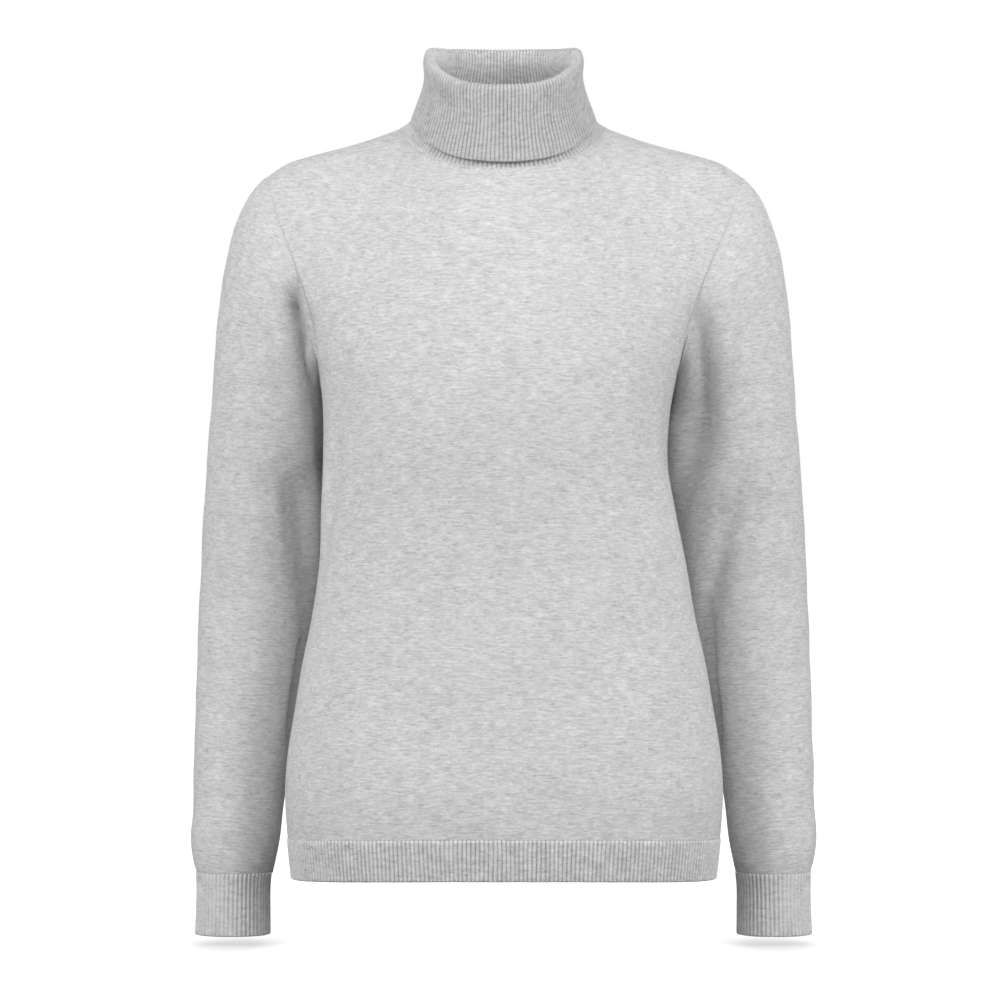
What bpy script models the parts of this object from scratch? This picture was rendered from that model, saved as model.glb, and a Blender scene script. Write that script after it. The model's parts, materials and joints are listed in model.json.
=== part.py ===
"""Turtleneck sweater: nine knitted pieces, each a closed cloth wall.

The sweater keeps the form it has when worn: it is hollow, and its neck, hem and cuffs are
open. Z is up, X runs across the shoulders and the front faces -Y. The origin is the centre of
the neck base, level with the highest points of the shoulders. Tables are in millimetres and
the finished meshes are in metres.

Every wall starts as a grid of outer points. Pieces that meet share the points and the
thickness direction along their seam, so a small pull away from the seam leaves an even gap.
"""
from collections import namedtuple

import bpy
import numpy as np

METRES = 0.001

# Cloth, in millimetres.
JERSEY_WALL = 2.0
RIB_WALL = 2.0
RIB_RISE = 0.8
SEAM_GAP = 0.6
COLLAR_LIFT = 0.3  # how much further the collar stands off the neckline
RIB_BAND_DROP = 0.4  # how much further the hem's rib band stands off its panel
SHARPEST_MITRE = 1.8  # how much longer than the wall a mitred edge may be

# Grid sizes. A panel has its lower rows up to the underarm and its upper rows above it.
PANEL_COLUMNS = 24
LOWER_ROWS = 7
UPPER_ROWS = 12
CAP_ROWS = 7
ARM_ROWS = 8
COLLAR_RIBS = 132
HEM_RIBS = 134
CUFF_RIBS = 52
POINTS_PER_RIB = 2
OUTER_PER_INNER = 4  # points of a ribbed face to each point of its plain face

# Body sections. A panel's across-position runs from -1 at one side seam to 1 at the other.
UNDERARM_Z = -209.0
HEM_RIB_TOP_Z = -608.0
HEM_Z = -642.0
HEM_RISE = {"front": 7.0, "back": -3.0}  # how much higher the hem is at its centre
SQUARENESS = {"front": 2.3, "back": 2.1}  # superellipse exponents
FACING = {"front": -1.0, "back": 1.0}  # the sign of Y

Level = namedtuple("Level", "z half_width front_depth back_depth")
BODY_LEVELS = (
    Level(-209, 154.0, 118, 116),
    Level(-232, 150.0, 119, 115),
    Level(-260, 148.0, 118, 112),
    Level(-290, 148.3, 115, 107),
    Level(-320, 151.4, 112, 101),
    Level(-365, 156.5, 110, 97),
    Level(-420, 165.0, 110, 100),
    Level(-457, 173.0, 111, 105),
    Level(-500, 180.2, 114, 111),
    Level(-531, 185.3, 116, 114),
    Level(-569, 188.0, 118, 116),
    Level(-608, 185.6, 116, 114),
    Level(-642, 182.0, 112, 110),
)

# The body hangs a little to one side between the chest and the hips.
Sway = namedtuple("Sway", "z x")
SWAY = (
    Sway(60, 0.0),
    Sway(-90, 0.0),
    Sway(-150, -1.8),
    Sway(-209, -4.4),
    Sway(-245, -6.2),
    Sway(-285, -7.0),
    Sway(-325, -4.6),
    Sway(-370, -0.8),
    Sway(-420, 0.0),
    Sway(-700, 0.0),
)

# Armhole seam from the underarm up to the shoulder tip, one curve for each panel.
SeamPoint = namedtuple("SeamPoint", "x y z")
ARMHOLE = {
    "front": (
        SeamPoint(154.0, 0, -209),
        SeamPoint(154.3, -18, -203),
        SeamPoint(156.0, -34, -188),
        SeamPoint(160.0, -44, -165),
        SeamPoint(167.5, -47, -141),
        SeamPoint(177.5, -43, -115),
        SeamPoint(187.5, -34, -90),
        SeamPoint(197.0, -19, -64),
        SeamPoint(202.5, -5, -47),
        SeamPoint(205.0, 8, -38.6),
    ),
    "back": (
        SeamPoint(154.0, 0, -209),
        SeamPoint(154.3, 20, -203),
        SeamPoint(156.0, 40, -186),
        SeamPoint(162.0, 56, -160),
        SeamPoint(172.0, 62, -130),
        SeamPoint(183.0, 60, -100),
        SeamPoint(192.0, 50, -75),
        SeamPoint(200.0, 32, -51),
        SeamPoint(205.0, 8, -38.6),
    ),
}

# Shoulder seam from the neck out to the tip, by across-position.
SHOULDER_START = 0.5
ShoulderPoint = namedtuple("ShoulderPoint", "across x y z")
SHOULDER = (
    ShoulderPoint(0.50, 86, 2, 4),
    ShoulderPoint(0.60, 108, 3, -4),
    ShoulderPoint(0.72, 136, 4, -12.5),
    ShoulderPoint(0.84, 165, 6, -19.8),
    ShoulderPoint(0.93, 188, 7, -27.4),
    ShoulderPoint(1.00, 205, 8, -38.6),
)

# Collar rings, at the middle of the wall, from the neckline up the stand, over the fold and
# down the turndown. Heights are at 0, 30, 60, 90, 135 and 180 degrees from the front centre.
RING_ANGLES = (0, 30, 60, 90, 135, 180)
CollarRing = namedtuple("CollarRing", "half_width front_depth back_depth heights")
NECKLINE = CollarRing(86, 71, 68, (-36, -31, -14, 4, 5, 3))
STAND = (
    CollarRing(74.5, 65, 63, (-22, -18, -3, 12, 15, 14)),
    CollarRing(67.5, 60, 60, (6, 9, 21, 38, 43, 43)),
    CollarRing(62.0, 57, 57, (32.6, 35.8, 48.3, 66.5, 72.0, 73.3)),
)
TURNDOWN = (
    CollarRing(66.9, 63, 63, (9, 13, 27, 46, 51, 51)),
    CollarRing(78.4, 73.5, 76, (-30, -25, -9.5, 9.5, 12, 11)),
)
FOLD_RADIUS = 1.8
FOLD_STEPS = 3

# Sleeve sections below the cap, each an ellipse round the arm.
CAP_END_Z = -255.0
SLEEVE_END_Z = -639.0
CUFF_END_Z = -694.0
ArmLevel = namedtuple("ArmLevel", "z centre_x centre_y half_width half_depth")
ARM_LEVELS = (
    ArmLevel(-255, 202.8, 28, 51.5, 51),
    ArmLevel(-310, 205.6, 36, 53.5, 50),
    ArmLevel(-360, 208.3, 43, 54.0, 49),
    ArmLevel(-400, 210.9, 47, 53.5, 47),
    ArmLevel(-450, 216.6, 47, 49.5, 44),
    ArmLevel(-500, 222.7, 44, 44.8, 41),
    ArmLevel(-550, 228.5, 39, 40.6, 38),
    ArmLevel(-582, 231.0, 35, 38.6, 36.5),
    ArmLevel(-612, 233.4, 32, 37.6, 35),
    ArmLevel(-630, 233.8, 30, 34.4, 33),
    ArmLevel(-639, 233.6, 29, 31.2, 30.4),
    ArmLevel(-694, 234.3, 24, 30.2, 29),
)

# Soft folds: each runs between two places on a panel or sleeve and rises or sinks there.
# Across a panel the unit is the across-position. Round a sleeve it is the angle in degrees
# from the outer edge forwards, so 90 is the front, 180 the side by the body and 270 the back.
Fold = namedtuple("Fold", "start_across start_z end_across end_z width height")
BODY_FOLDS = {
    "front": (
        Fold(-0.97, -85, -0.90, -140, 11, -3.0),
        Fold(0.97, -80, 0.90, -135, 11, -3.0),
        Fold(-0.62, -215, -0.86, -380, 14, -2.5),
        Fold(0.80, -225, 1.00, -300, 20, -4.0),
        Fold(-0.30, -470, 0.25, -440, 30, 1.5),
    ),
    "back": (
        Fold(-0.95, -95, -0.86, -160, 14, -3.0),
        Fold(0.95, -95, 0.86, -160, 14, -3.0),
        Fold(-0.55, -330, 0.10, -345, 16, 3.0),
        Fold(-0.10, -372, 0.60, -355, 16, 3.0),
        Fold(0.80, -235, 1.00, -300, 20, -3.5),
    ),
}
SLEEVE_FOLDS = {
    "left": (
        Fold(105, -160, 118, -330, 13, -5.0),
        Fold(62, -306, 115, -395, 14, -5.0),
        Fold(186, -232, 184, -345, 34, 9.5),
        Fold(240, -360, 300, -330, 16, -4.0),
        Fold(240, -395, 310, -420, 16, 3.0),
    ),
    "right": (
        Fold(95, -140, 122, -215, 12, -5.0),
        Fold(88, -284, 128, -400, 15, -5.5),
        Fold(170, -215, 172, -320, 22, -5.0),
        Fold(218, -215, 215, -330, 24, 5.0),
        Fold(240, -365, 300, -320, 16, -4.0),
        Fold(230, -400, 305, -410, 16, 3.0),
    ),
}


def hermite(start, end, start_slope, end_slope, s):
    """Points of a cubic curve that leaves and arrives along the given slopes."""
    rest = 1 - s
    return (
        (1 + 2 * s) * rest**2 * start
        + s * rest**2 * start_slope
        + s**2 * (3 - 2 * s) * end
        - s**2 * rest * end_slope
    )


def read_table(rows, key):
    """The columns after a table's first one, read smoothly at the values of that column."""
    data = np.array(rows, dtype=float)
    data = data[np.argsort(data[:, 0])]
    keys = data[:, 0]
    slopes = np.gradient(data, keys, axis=0)
    low = np.clip(np.searchsorted(keys, key) - 1, 0, len(keys) - 2)
    step = (keys[low + 1] - keys[low])[..., None]
    s = (np.asarray(key, dtype=float)[..., None] - keys[low][..., None]) / step
    values = hermite(data[low], data[low + 1], slopes[low] * step, slopes[low + 1] * step, s)
    return np.moveaxis(values[..., 1:], -1, 0)


def unit(vectors):
    """The vectors at length one."""
    return vectors / np.linalg.norm(vectors, axis=-1, keepdims=True)


def dot(first, second):
    """Dot products along the last axis, kept as a column."""
    return (first * second).sum(axis=-1, keepdims=True)


def stack(x, y, z):
    """One array of points from arrays of coordinates, which may differ in shape."""
    return np.stack(np.broadcast_arrays(x, y, z), axis=-1).astype(float)


def body_section(face, across, z):
    """Points of a body panel's horizontal section at across-positions and heights."""
    half_width, front_depth, back_depth = read_table(BODY_LEVELS, z)
    depth = front_depth if face == "front" else back_depth
    angle = across * np.pi / 2
    power = 2 / SQUARENESS[face]
    x = half_width * np.sign(across) * np.abs(np.sin(angle)) ** power
    y = FACING[face] * depth * np.cos(angle).clip(0) ** power
    return stack(x, y, z)


def hem_height(face, across, side_z):
    """The hem's height across a panel: it rises or drops towards the centre."""
    return side_z + HEM_RISE[face] * np.cos(across * np.pi / 2) ** 2


def ring_heights(ring, angle):
    """Heights of a collar ring at angles in radians from the front centre."""
    folded = np.degrees(np.abs((angle + np.pi) % (2 * np.pi) - np.pi))
    rows = np.column_stack([RING_ANGLES, ring.heights])
    mirrored = np.vstack([[-rows[1, 0], rows[1, 1]], rows, [225, rows[-2, 1]]])
    return read_table(mirrored, folded)[0]


def ring_points(ring, angle):
    """Points of a collar ring at angles in radians from the front centre."""
    cosine = np.cos(angle)
    depth = np.where(cosine > 0, ring.front_depth, ring.back_depth)
    return stack(ring.half_width * np.sin(angle), -depth * cosine, ring_heights(ring, angle))


def top_edge(face, across):
    """A panel's top edge: half the neckline between its two shoulder seams."""
    reach = np.abs(across)
    x, y, z = read_table(SHOULDER, np.maximum(reach, SHOULDER_START))
    shoulder = stack(np.sign(across) * x, y, z)
    angle = across * np.pi
    neck = ring_points(NECKLINE, angle if face == "front" else np.pi - angle)
    # The neckline ring meets the shoulder seams a little in front of the ring's own middle.
    neck[..., 1] += SHOULDER[0].y * np.abs(np.sin(angle))
    return np.where((reach < SHOULDER_START)[..., None], neck, shoulder)


def spline(points, s):
    """Points of a smooth curve through the given ones, at shares s of its length."""
    points = np.array(points, dtype=float)
    steps = np.linalg.norm(np.diff(points, axis=0), axis=1)
    length = np.concatenate([[0], np.cumsum(steps)])
    rows = np.column_stack([length / length[-1], points])
    return np.moveaxis(read_table(rows, s), 0, -1)


def fold_offset(folds, across, z, unit_length):
    """How far soft folds lift the cloth at places given by across-position and height."""
    lift = np.zeros(np.broadcast(across, z).shape)
    for fold in folds:
        run_x = (fold.end_across - fold.start_across) * unit_length
        run_z = fold.end_z - fold.start_z
        dx = (across - fold.start_across) * unit_length
        dz = z - fold.start_z
        along = (dx * run_x + dz * run_z) / (run_x**2 + run_z**2)
        beside = (dx * run_z - dz * run_x) / np.hypot(run_x, run_z)
        fade = np.exp(-(((along - 0.5) / 0.45) ** 4))
        lift += fold.height * fade * np.exp(-((beside / fold.width) ** 2))
    return lift


def swayed(points):
    """The points moved sideways with the body's sway."""
    return points + stack(read_table(SWAY, points[..., 2])[0], 0, 0)


def panel_grid(face):
    """Outer points of a body panel, bottom row first."""
    across = np.linspace(-1, 1, PANEL_COLUMNS + 1)
    share = np.linspace(0, 1, LOWER_ROWS + 1)[:-1, None]
    bottom = hem_height(face, across, HEM_RIB_TOP_Z)
    lower = body_section(face, across, bottom + (UNDERARM_Z - bottom) * share)

    # Above the underarm each column curves from the level section up to the top edge.
    s = np.linspace(0, 1, UPPER_ROWS + 1)[:, None, None]
    start = body_section(face, across, np.full_like(across, UNDERARM_Z))
    below = body_section(face, across, np.full_like(across, UNDERARM_Z - 10))
    end = top_edge(face, across)
    rise = (end - start)[:, 2:]
    start_slope = (start - below) / 10 * rise * 1.2
    neck_share = np.cos(np.minimum(np.abs(across), SHOULDER_START) * np.pi)
    turn = 1.45 * (end - start)[:, 1]
    end_slope = stack(np.zeros_like(across), turn, rise[:, 0] * (0.08 + 0.67 * neck_share))
    upper = hermite(start, end, start_slope, end_slope, s)

    # The outer columns bend onto the armhole seam.
    seam = spline(ARMHOLE[face], s[:, 0, 0])
    pull = (((np.abs(across) - 0.45) / 0.55).clip(0) ** 2)[None, :, None]
    for side in (-1, 1):
        edge = 0 if side < 0 else -1
        wanted = seam * (side, 1, 1)
        move = (wanted - upper[:, edge])[:, None, :]
        upper += move * pull * (np.sign(across) == side)[None, :, None]
    grid = np.concatenate([lower, upper])
    lift = fold_offset(BODY_FOLDS[face], across, grid[..., 2], 235)
    lift *= 1 - np.abs(across) ** 12
    lift[-1] = 0
    outward = grid_normals(grid, False) * -FACING[face]
    return swayed(grid + outward * lift[..., None])


def arm_section(side, angle, z):
    """Points of a sleeve's section at angles from its outer edge towards the front."""
    centre_x, centre_y, half_width, half_depth = read_table(ARM_LEVELS, z)
    x = side * (centre_x + half_width * np.cos(angle))
    return stack(x, centre_y - half_depth * np.sin(angle), z)


def sleeve_grid(name):
    """Outer points of a sleeve, armhole row first, its columns from the shoulder forwards."""
    side = 1 if name == "left" else -1
    share = np.linspace(0, 1, UPPER_ROWS + 1)
    front_half = spline(ARMHOLE["front"], share[::-1])
    back_half = spline(ARMHOLE["back"], share)
    loop = swayed(np.concatenate([front_half, back_half[1:-1]]) * (side, 1, 1))
    angle = np.arange(2 * UPPER_ROWS) * np.pi / UPPER_ROWS

    s = np.linspace(0, 1, CAP_ROWS + 1)[:, None, None]
    level = np.full_like(angle, CAP_END_Z)
    ring = arm_section(side, angle, level)
    onward = (arm_section(side, angle, level - 10) - ring) / 10
    reach = np.linalg.norm(ring - loop, axis=-1, keepdims=True)
    under = (1 - np.cos(angle)) / 2
    leave = unit(stack(side * 0.8, -0.28 * np.sin(angle), -0.6))
    push = (0.72 - 0.24 * under)[:, None] * reach
    cap = hermite(loop, ring, leave * push, onward * reach, s)

    z = np.linspace(CAP_END_Z, SLEEVE_END_Z, ARM_ROWS + 1)[1:, None]
    grid = np.concatenate([cap, arm_section(side, angle, z)])
    lift = fold_offset(SLEEVE_FOLDS[name], np.degrees(angle), grid[..., 2], 0.9)
    lift[0] = 0
    return grid + grid_normals(grid, True) * lift[..., None] * side


def grid_normals(grid, closed):
    """Unit normals of a grid from its neighbouring points; a closed grid joins its ends."""
    up = np.gradient(grid, axis=0)
    if closed:
        along = np.roll(grid, -1, axis=1) - np.roll(grid, 1, axis=1)
    else:
        along = np.gradient(grid, axis=1)
    return unit(np.cross(along, up))


class Wall:
    """A piece's outer grid with its own normals and the thickness directions it shares."""

    def __init__(self, grid, closed, flipped=False):
        self.grid = grid
        self.closed = closed
        self.own = grid_normals(grid, closed) * (-1 if flipped else 1)
        self.shared = self.own.copy()

    def border(self):
        """Index pairs of the border loops."""
        rows, columns = self.grid.shape[:2]
        if self.closed:
            ring = np.arange(columns)
            return [(np.zeros_like(ring), ring), (np.full_like(ring, rows - 1), ring)]
        row = np.concatenate([
            np.zeros(columns - 1, int), np.arange(rows - 1),
            np.full(columns - 1, rows - 1), np.arange(rows - 1, 0, -1),
        ])
        column = np.concatenate([
            np.arange(columns - 1), np.full(rows - 1, columns - 1),
            np.arange(columns - 1, 0, -1), np.zeros(rows - 1, int),
        ])
        return [(row, column)]

    def inward(self, loop):
        """Directions along the cloth from a border loop into the piece."""
        points = self.grid[loop]
        tangent = np.roll(points, -1, axis=0) - np.roll(points, 1, axis=0)
        direction = unit(np.cross(self.shared[loop], tangent))
        if self.closed:
            inside = self.grid[1 if loop[0][0] == 0 else -2]
        else:
            inside = self.grid.mean(axis=(0, 1))
        return direction * np.sign((direction * (inside - points)).sum())

    def walls(self, thickness):
        """Outer and inner grids, pulled back from the seams by half the seam gap."""
        outer = self.grid.copy()
        for loop in self.border():
            outer[loop] += self.inward(loop) * SEAM_GAP / 2
        mitre = 1 / np.maximum(dot(self.own, self.shared), 1 / SHARPEST_MITRE)
        return outer, outer - self.shared * mitre * thickness


def share_seam(first, second, index):
    """Gives two walls one thickness direction along a seam that both have at one index."""
    both = unit(first.shared[index] + second.shared[index])
    first.shared[index] = both
    second.shared[index] = both


def jersey_walls():
    """The four jersey pieces, with the directions along their seams shared."""
    front = Wall(panel_grid("front"), False)
    back = Wall(panel_grid("back"), False, flipped=True)
    side_rows = np.arange(LOWER_ROWS + 1)
    for column in (0, -1):
        share_seam(front, back, (side_rows, column))
    shoulder = np.abs(np.linspace(-1, 1, PANEL_COLUMNS + 1)) > SHOULDER_START - 0.01
    share_seam(front, back, (-1, shoulder))

    # The armhole rows run up each panel from the underarm, and the sleeve's first row runs
    # from the shoulder tip down the front and up the back.
    armhole_rows = np.arange(LOWER_ROWS, LOWER_ROWS + UPPER_ROWS + 1)
    down_front = np.arange(UPPER_ROWS, -1, -1)
    up_back = (UPPER_ROWS + np.arange(UPPER_ROWS + 1)) % (2 * UPPER_ROWS)
    sleeves = {}
    for name, column in (("right", 0), ("left", -1)):
        sleeve = Wall(sleeve_grid(name), True, flipped=(name == "right"))
        own = sleeve.own[0]
        for panel, order in ((front, down_front), (back, up_back)):
            both = unit(panel.shared[armhole_rows, column] + own[order])
            sleeve.shared[0][order] = both
            panel.shared[armhole_rows, column] = both
        sleeves[name] = sleeve
    return front, back, sleeves


def grid_faces(rows, columns, closed, first, flipped):
    """Quads of a grid whose points start at an index."""
    faces = []
    for row in range(rows - 1):
        for column in range(columns if closed else columns - 1):
            after = (column + 1) % columns
            low = first + row * columns
            high = low + columns
            quad = (low + column, low + after, high + after, high + column)
            faces.append(quad[::-1] if flipped else quad)
    return faces


def rim_faces(outer, inner, closed):
    """Triangles that join a rim of outer points to the rim of the inner points below it."""
    spans = len(inner) if closed else len(inner) - 1
    ratio = len(outer) // spans
    faces = []
    for span in range(spans):
        near = inner[span]
        far = inner[(span + 1) % len(inner)]
        middle = ratio // 2
        for step in range(ratio):
            a = outer[(span * ratio + step) % len(outer)]
            b = outer[(span * ratio + step + 1) % len(outer)]
            faces.append((b, a, near if step < middle else far))
        faces.append((near, far, outer[(span * ratio + middle) % len(outer)]))
    return faces


def add_piece(name, outer, inner, closed):
    """Adds one closed wall between an outer and an inner grid with the same rows."""
    rows, outer_columns = outer.shape[:2]
    inner_columns = inner.shape[1]
    first_inner = rows * outer_columns
    faces = grid_faces(rows, outer_columns, closed, 0, False)
    faces += grid_faces(rows, inner_columns, closed, first_inner, True)
    outer_index = np.arange(first_inner).reshape(rows, outer_columns)
    inner_index = first_inner + np.arange(rows * inner_columns).reshape(rows, inner_columns)
    faces += rim_faces(outer_index[0], inner_index[0], closed)
    faces += [face[::-1] for face in rim_faces(outer_index[-1], inner_index[-1], closed)]
    if not closed:
        for outer_side, inner_side, turned in (
            (outer_index[:, 0], inner_index[:, 0], False),
            (outer_index[:, -1], inner_index[:, -1], True),
        ):
            for row in range(rows - 1):
                quad = (outer_side[row], outer_side[row + 1], inner_side[row + 1], inner_side[row])
                faces.append(quad[::-1] if turned else quad)
    points = np.concatenate([outer.reshape(-1, 3), inner.reshape(-1, 3)]) * METRES
    faces = [tuple(int(index) for index in face) for face in faces]
    if enclosed_volume(points, faces) < 0:
        faces = [face[::-1] for face in faces]
    mesh = bpy.data.meshes.new(name)
    mesh.from_pydata(points.tolist(), [], faces)
    mesh.validate()
    bpy.context.scene.collection.objects.link(bpy.data.objects.new(name, mesh))


def enclosed_volume(points, faces):
    """The signed volume inside a closed mesh."""
    volume = 0.0
    for face in faces:
        a = points[face[0]]
        for second, third in zip(face[1:], face[2:]):
            volume += np.dot(a, np.cross(points[second], points[third]))
    return volume / 6


def rib_lift(columns):
    """How far each point of a ribbed face rises: every second one is the crest of a rib."""
    return (RIB_RISE * (np.arange(columns) % POINTS_PER_RIB == 1))[:, None]


def add_hem_rib(face):
    """Adds one half of the hem's rib band."""
    def band(columns):
        """The band's wall with this many columns."""
        across = np.linspace(-1, 1, columns)
        levels = [hem_height(face, across, z) for z in (HEM_Z, HEM_RIB_TOP_Z - RIB_BAND_DROP)]
        section = swayed(body_section(face, across, np.array(levels)))
        return Wall(section, False, flipped=(face == "back"))

    outer_columns = HEM_RIBS * POINTS_PER_RIB + 1
    outer = band(outer_columns)
    inner = band(outer_columns // OUTER_PER_INNER + 1)
    ribbed = outer.walls(RIB_WALL)[0] + outer.own * rib_lift(outer_columns)
    add_piece(f"hem_rib_{face}", ribbed, inner.walls(RIB_WALL)[1], False)


def add_cuff(name):
    """Adds one rib cuff below its sleeve."""
    side = 1 if name == "left" else -1

    def band(columns):
        """The cuff's wall with this many columns."""
        angle = np.arange(columns) * 2 * np.pi / columns
        z = np.linspace(SLEEVE_END_Z, CUFF_END_Z, 3)[:, None]
        return Wall(arm_section(side, angle, z), True, flipped=(side > 0))

    outer_columns = CUFF_RIBS * POINTS_PER_RIB
    outer = band(outer_columns)
    inner = band(outer_columns // OUTER_PER_INNER)
    ribbed = outer.walls(RIB_WALL)[0] + outer.own * rib_lift(outer_columns)
    add_piece(f"cuff_{name}", ribbed, inner.walls(RIB_WALL)[1], True)


def collar_middle(angle):
    """Rings of points along the middle of the collar's wall, above the neckline."""
    rings = [ring_points(ring, angle) for ring in STAND]
    outward = stack(np.sin(angle), -np.cos(angle), 0)
    upward = np.array([0, 0, 1])
    top = rings[-1]
    for step in range(1, FOLD_STEPS + 1):
        turn = np.pi * step / FOLD_STEPS
        rings.append(top + FOLD_RADIUS * ((1 - np.cos(turn)) * outward + np.sin(turn) * upward))
    rings += [ring_points(ring, angle) for ring in TURNDOWN]
    return np.array(rings)


def neck_edge(front, back, angle):
    """The neckline's points, thickness directions and directions up the collar."""
    row = np.abs(np.linspace(-1, 1, PANEL_COLUMNS + 1)) < SHOULDER_START + 0.01
    rings = []
    for front_values, back_values in ((front.grid, back.grid), (front.shared, back.shared)):
        front_half = front_values[-1, row]
        back_half = back_values[-1, row][::-1]
        middle = len(front_half) // 2
        rings.append(np.concatenate([front_half[middle:], back_half[1:-1], front_half[:middle]]))
    points, thickness = rings
    along = np.roll(points, -1, axis=0) - np.roll(points, 1, axis=0)
    rings.append(unit(np.cross(thickness, along)))
    share = np.linspace(0, 2 * np.pi, len(points) + 1)
    return [
        np.stack([np.interp(angle, share, np.append(axis, axis[0])) for axis in ring.T], axis=-1)
        for ring in rings
    ]


def add_collar(front, back):
    """Adds the collar: a rib stand that rises from the neckline, folds and turns down."""
    def faces_of(columns):
        """The face that shows, the hidden face and the direction out of the one that shows."""
        angle = np.arange(columns) * 2 * np.pi / columns
        middle = collar_middle(angle)
        edge, thickness, onward = neck_edge(front, back, angle)
        lift = SEAM_GAP / 2 + COLLAR_LIFT
        base = edge + onward * lift - thickness * RIB_WALL / 2
        middle = np.concatenate([base[None], middle])
        normal = grid_normals(middle, True)
        normal[0] = thickness
        return middle - normal * RIB_WALL / 2, middle + normal * RIB_WALL / 2, -normal

    outer_columns = COLLAR_RIBS * POINTS_PER_RIB
    shown, _, outward = faces_of(outer_columns)
    ribbed = shown + outward * rib_lift(outer_columns)
    _, plain, _ = faces_of(outer_columns // OUTER_PER_INNER)
    add_piece("collar", ribbed, plain, True)


def clear_scene():
    """Removes every object of the scene."""
    for thing in list(bpy.data.objects):
        bpy.data.objects.remove(thing, do_unlink=True)


def main():
    """Builds the nine pieces of the sweater."""
    clear_scene()
    front, back, sleeves = jersey_walls()
    for name, wall in (("front", front), ("back", back)):
        add_piece(name, *wall.walls(JERSEY_WALL), False)
    for name, wall in sleeves.items():
        add_piece(f"sleeve_{name}", *wall.walls(JERSEY_WALL), True)
    add_collar(front, back)
    for face in ("front", "back"):
        add_hem_rib(face)
    for name in ("left", "right"):
        add_cuff(name)


main()
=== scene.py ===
"""Looks of a turtleneck sweater in fine melange knit, in the form it has when worn.

The sweater is hollow: a front, a back, two sleeves, a turned-down rib collar, a rib hem in two
halves and two rib cuffs. Every piece is a wall of cloth worked out on a grid. Sizes are in
millimetres and the finished meshes are in metres. Z is up, the front faces -Y, and the origin
is the centre of the neck base, level with the highest points of the shoulders.

Each face of a wall carries three maps. "cloth" holds the flat place of a point in the knit, in
metres along the course and along the wale, which the yarn and the stitches follow. "seam"
holds the distance to the nearest linked seam and the way along it, which the seam's stitches
follow. "rib" holds the place across the ribs, and how far a point lies inside the rib, below
zero, or out in the plain knit, above zero, where the ribs fade away.
"""
import json
import logging
from dataclasses import dataclass, field, replace
from enum import Enum
from typing import NamedTuple, Sequence

import bpy
import numpy as np
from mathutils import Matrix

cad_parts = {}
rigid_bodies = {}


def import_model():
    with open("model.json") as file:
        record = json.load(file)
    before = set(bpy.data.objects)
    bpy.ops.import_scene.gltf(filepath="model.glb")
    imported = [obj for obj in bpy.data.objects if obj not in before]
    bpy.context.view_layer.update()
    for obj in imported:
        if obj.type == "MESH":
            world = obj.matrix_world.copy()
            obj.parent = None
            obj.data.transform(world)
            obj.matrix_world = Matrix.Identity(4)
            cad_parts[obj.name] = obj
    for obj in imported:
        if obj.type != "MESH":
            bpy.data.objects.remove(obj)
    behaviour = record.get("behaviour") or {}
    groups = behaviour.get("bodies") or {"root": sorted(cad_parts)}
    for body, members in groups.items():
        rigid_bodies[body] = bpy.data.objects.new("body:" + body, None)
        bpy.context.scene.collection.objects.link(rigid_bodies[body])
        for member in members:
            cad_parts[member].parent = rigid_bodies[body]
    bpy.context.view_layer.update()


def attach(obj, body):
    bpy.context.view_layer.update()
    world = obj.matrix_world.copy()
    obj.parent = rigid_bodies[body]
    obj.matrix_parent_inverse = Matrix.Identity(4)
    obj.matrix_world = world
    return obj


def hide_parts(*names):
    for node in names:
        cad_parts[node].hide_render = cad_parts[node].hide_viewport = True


LOG = logging.getLogger("sweater")
Array = np.ndarray
Socket = bpy.types.NodeSocket
METRES = 0.001
BODY = "root"


class Face(Enum):
    """The two body panels."""

    FRONT = "front"
    BACK = "back"

    @property
    def facing(self) -> float:
        """The sign of Y on this side of the body."""
        return -1.0 if self is Face.FRONT else 1.0


class Side(Enum):
    """The wearer's two sides, each with its sign of X."""

    LEFT = 1
    RIGHT = -1


class Hold(Enum):
    """How a piece of cloth is held up."""

    HUNG = "hung"
    FOLDED = "folded"
    STRETCHED = "stretched"


class Slot(Enum):
    """The record's material slots."""

    JERSEY = "jersey_knit"
    RIB = "rib_knit"


# ---------------------------------------------------------------------------------------------
# Curves and grids
# ---------------------------------------------------------------------------------------------


def hermite(start: Array, end: Array, start_slope: Array, end_slope: Array, s: Array) -> Array:
    """A cubic curve between two points: each point and slope is weighed by a cubic in s.

    Args:
        start: Where the curve starts.
        end: Where it ends.
        start_slope: The direction in which it leaves, times its reach.
        end_slope: The direction in which it arrives, times its reach.
        s: Shares of the way, from 0 to 1.

    Returns:
        The points at those shares.
    """
    rest = 1 - s
    return (
        (1 + 2 * s) * rest**2 * start
        + s * rest**2 * start_slope
        + s**2 * (3 - 2 * s) * end
        - s**2 * rest * end_slope
    )


def read_table(rows: Sequence, key: Array) -> Array:
    """Reads a table between its rows with a cubic in the first column.

    Args:
        rows: The table; its first column rises or falls steadily.
        key: Values of the first column to read at.

    Returns:
        The other columns at those values, one array for each.
    """
    data = np.array(rows, dtype=float)
    data = data[np.argsort(data[:, 0])]
    keys = data[:, 0]
    slopes = np.gradient(data, keys, axis=0)
    low = np.clip(np.searchsorted(keys, key) - 1, 0, len(keys) - 2)
    step = (keys[low + 1] - keys[low])[..., None]
    s = (np.asarray(key, dtype=float)[..., None] - keys[low][..., None]) / step
    values = hermite(data[low], data[low + 1], slopes[low] * step, slopes[low + 1] * step, s)
    return np.moveaxis(values[..., 1:], -1, 0)


def unit(vectors: Array) -> Array:
    """The vectors at length one."""
    return vectors / np.maximum(np.linalg.norm(vectors, axis=-1, keepdims=True), 1e-9)


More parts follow.
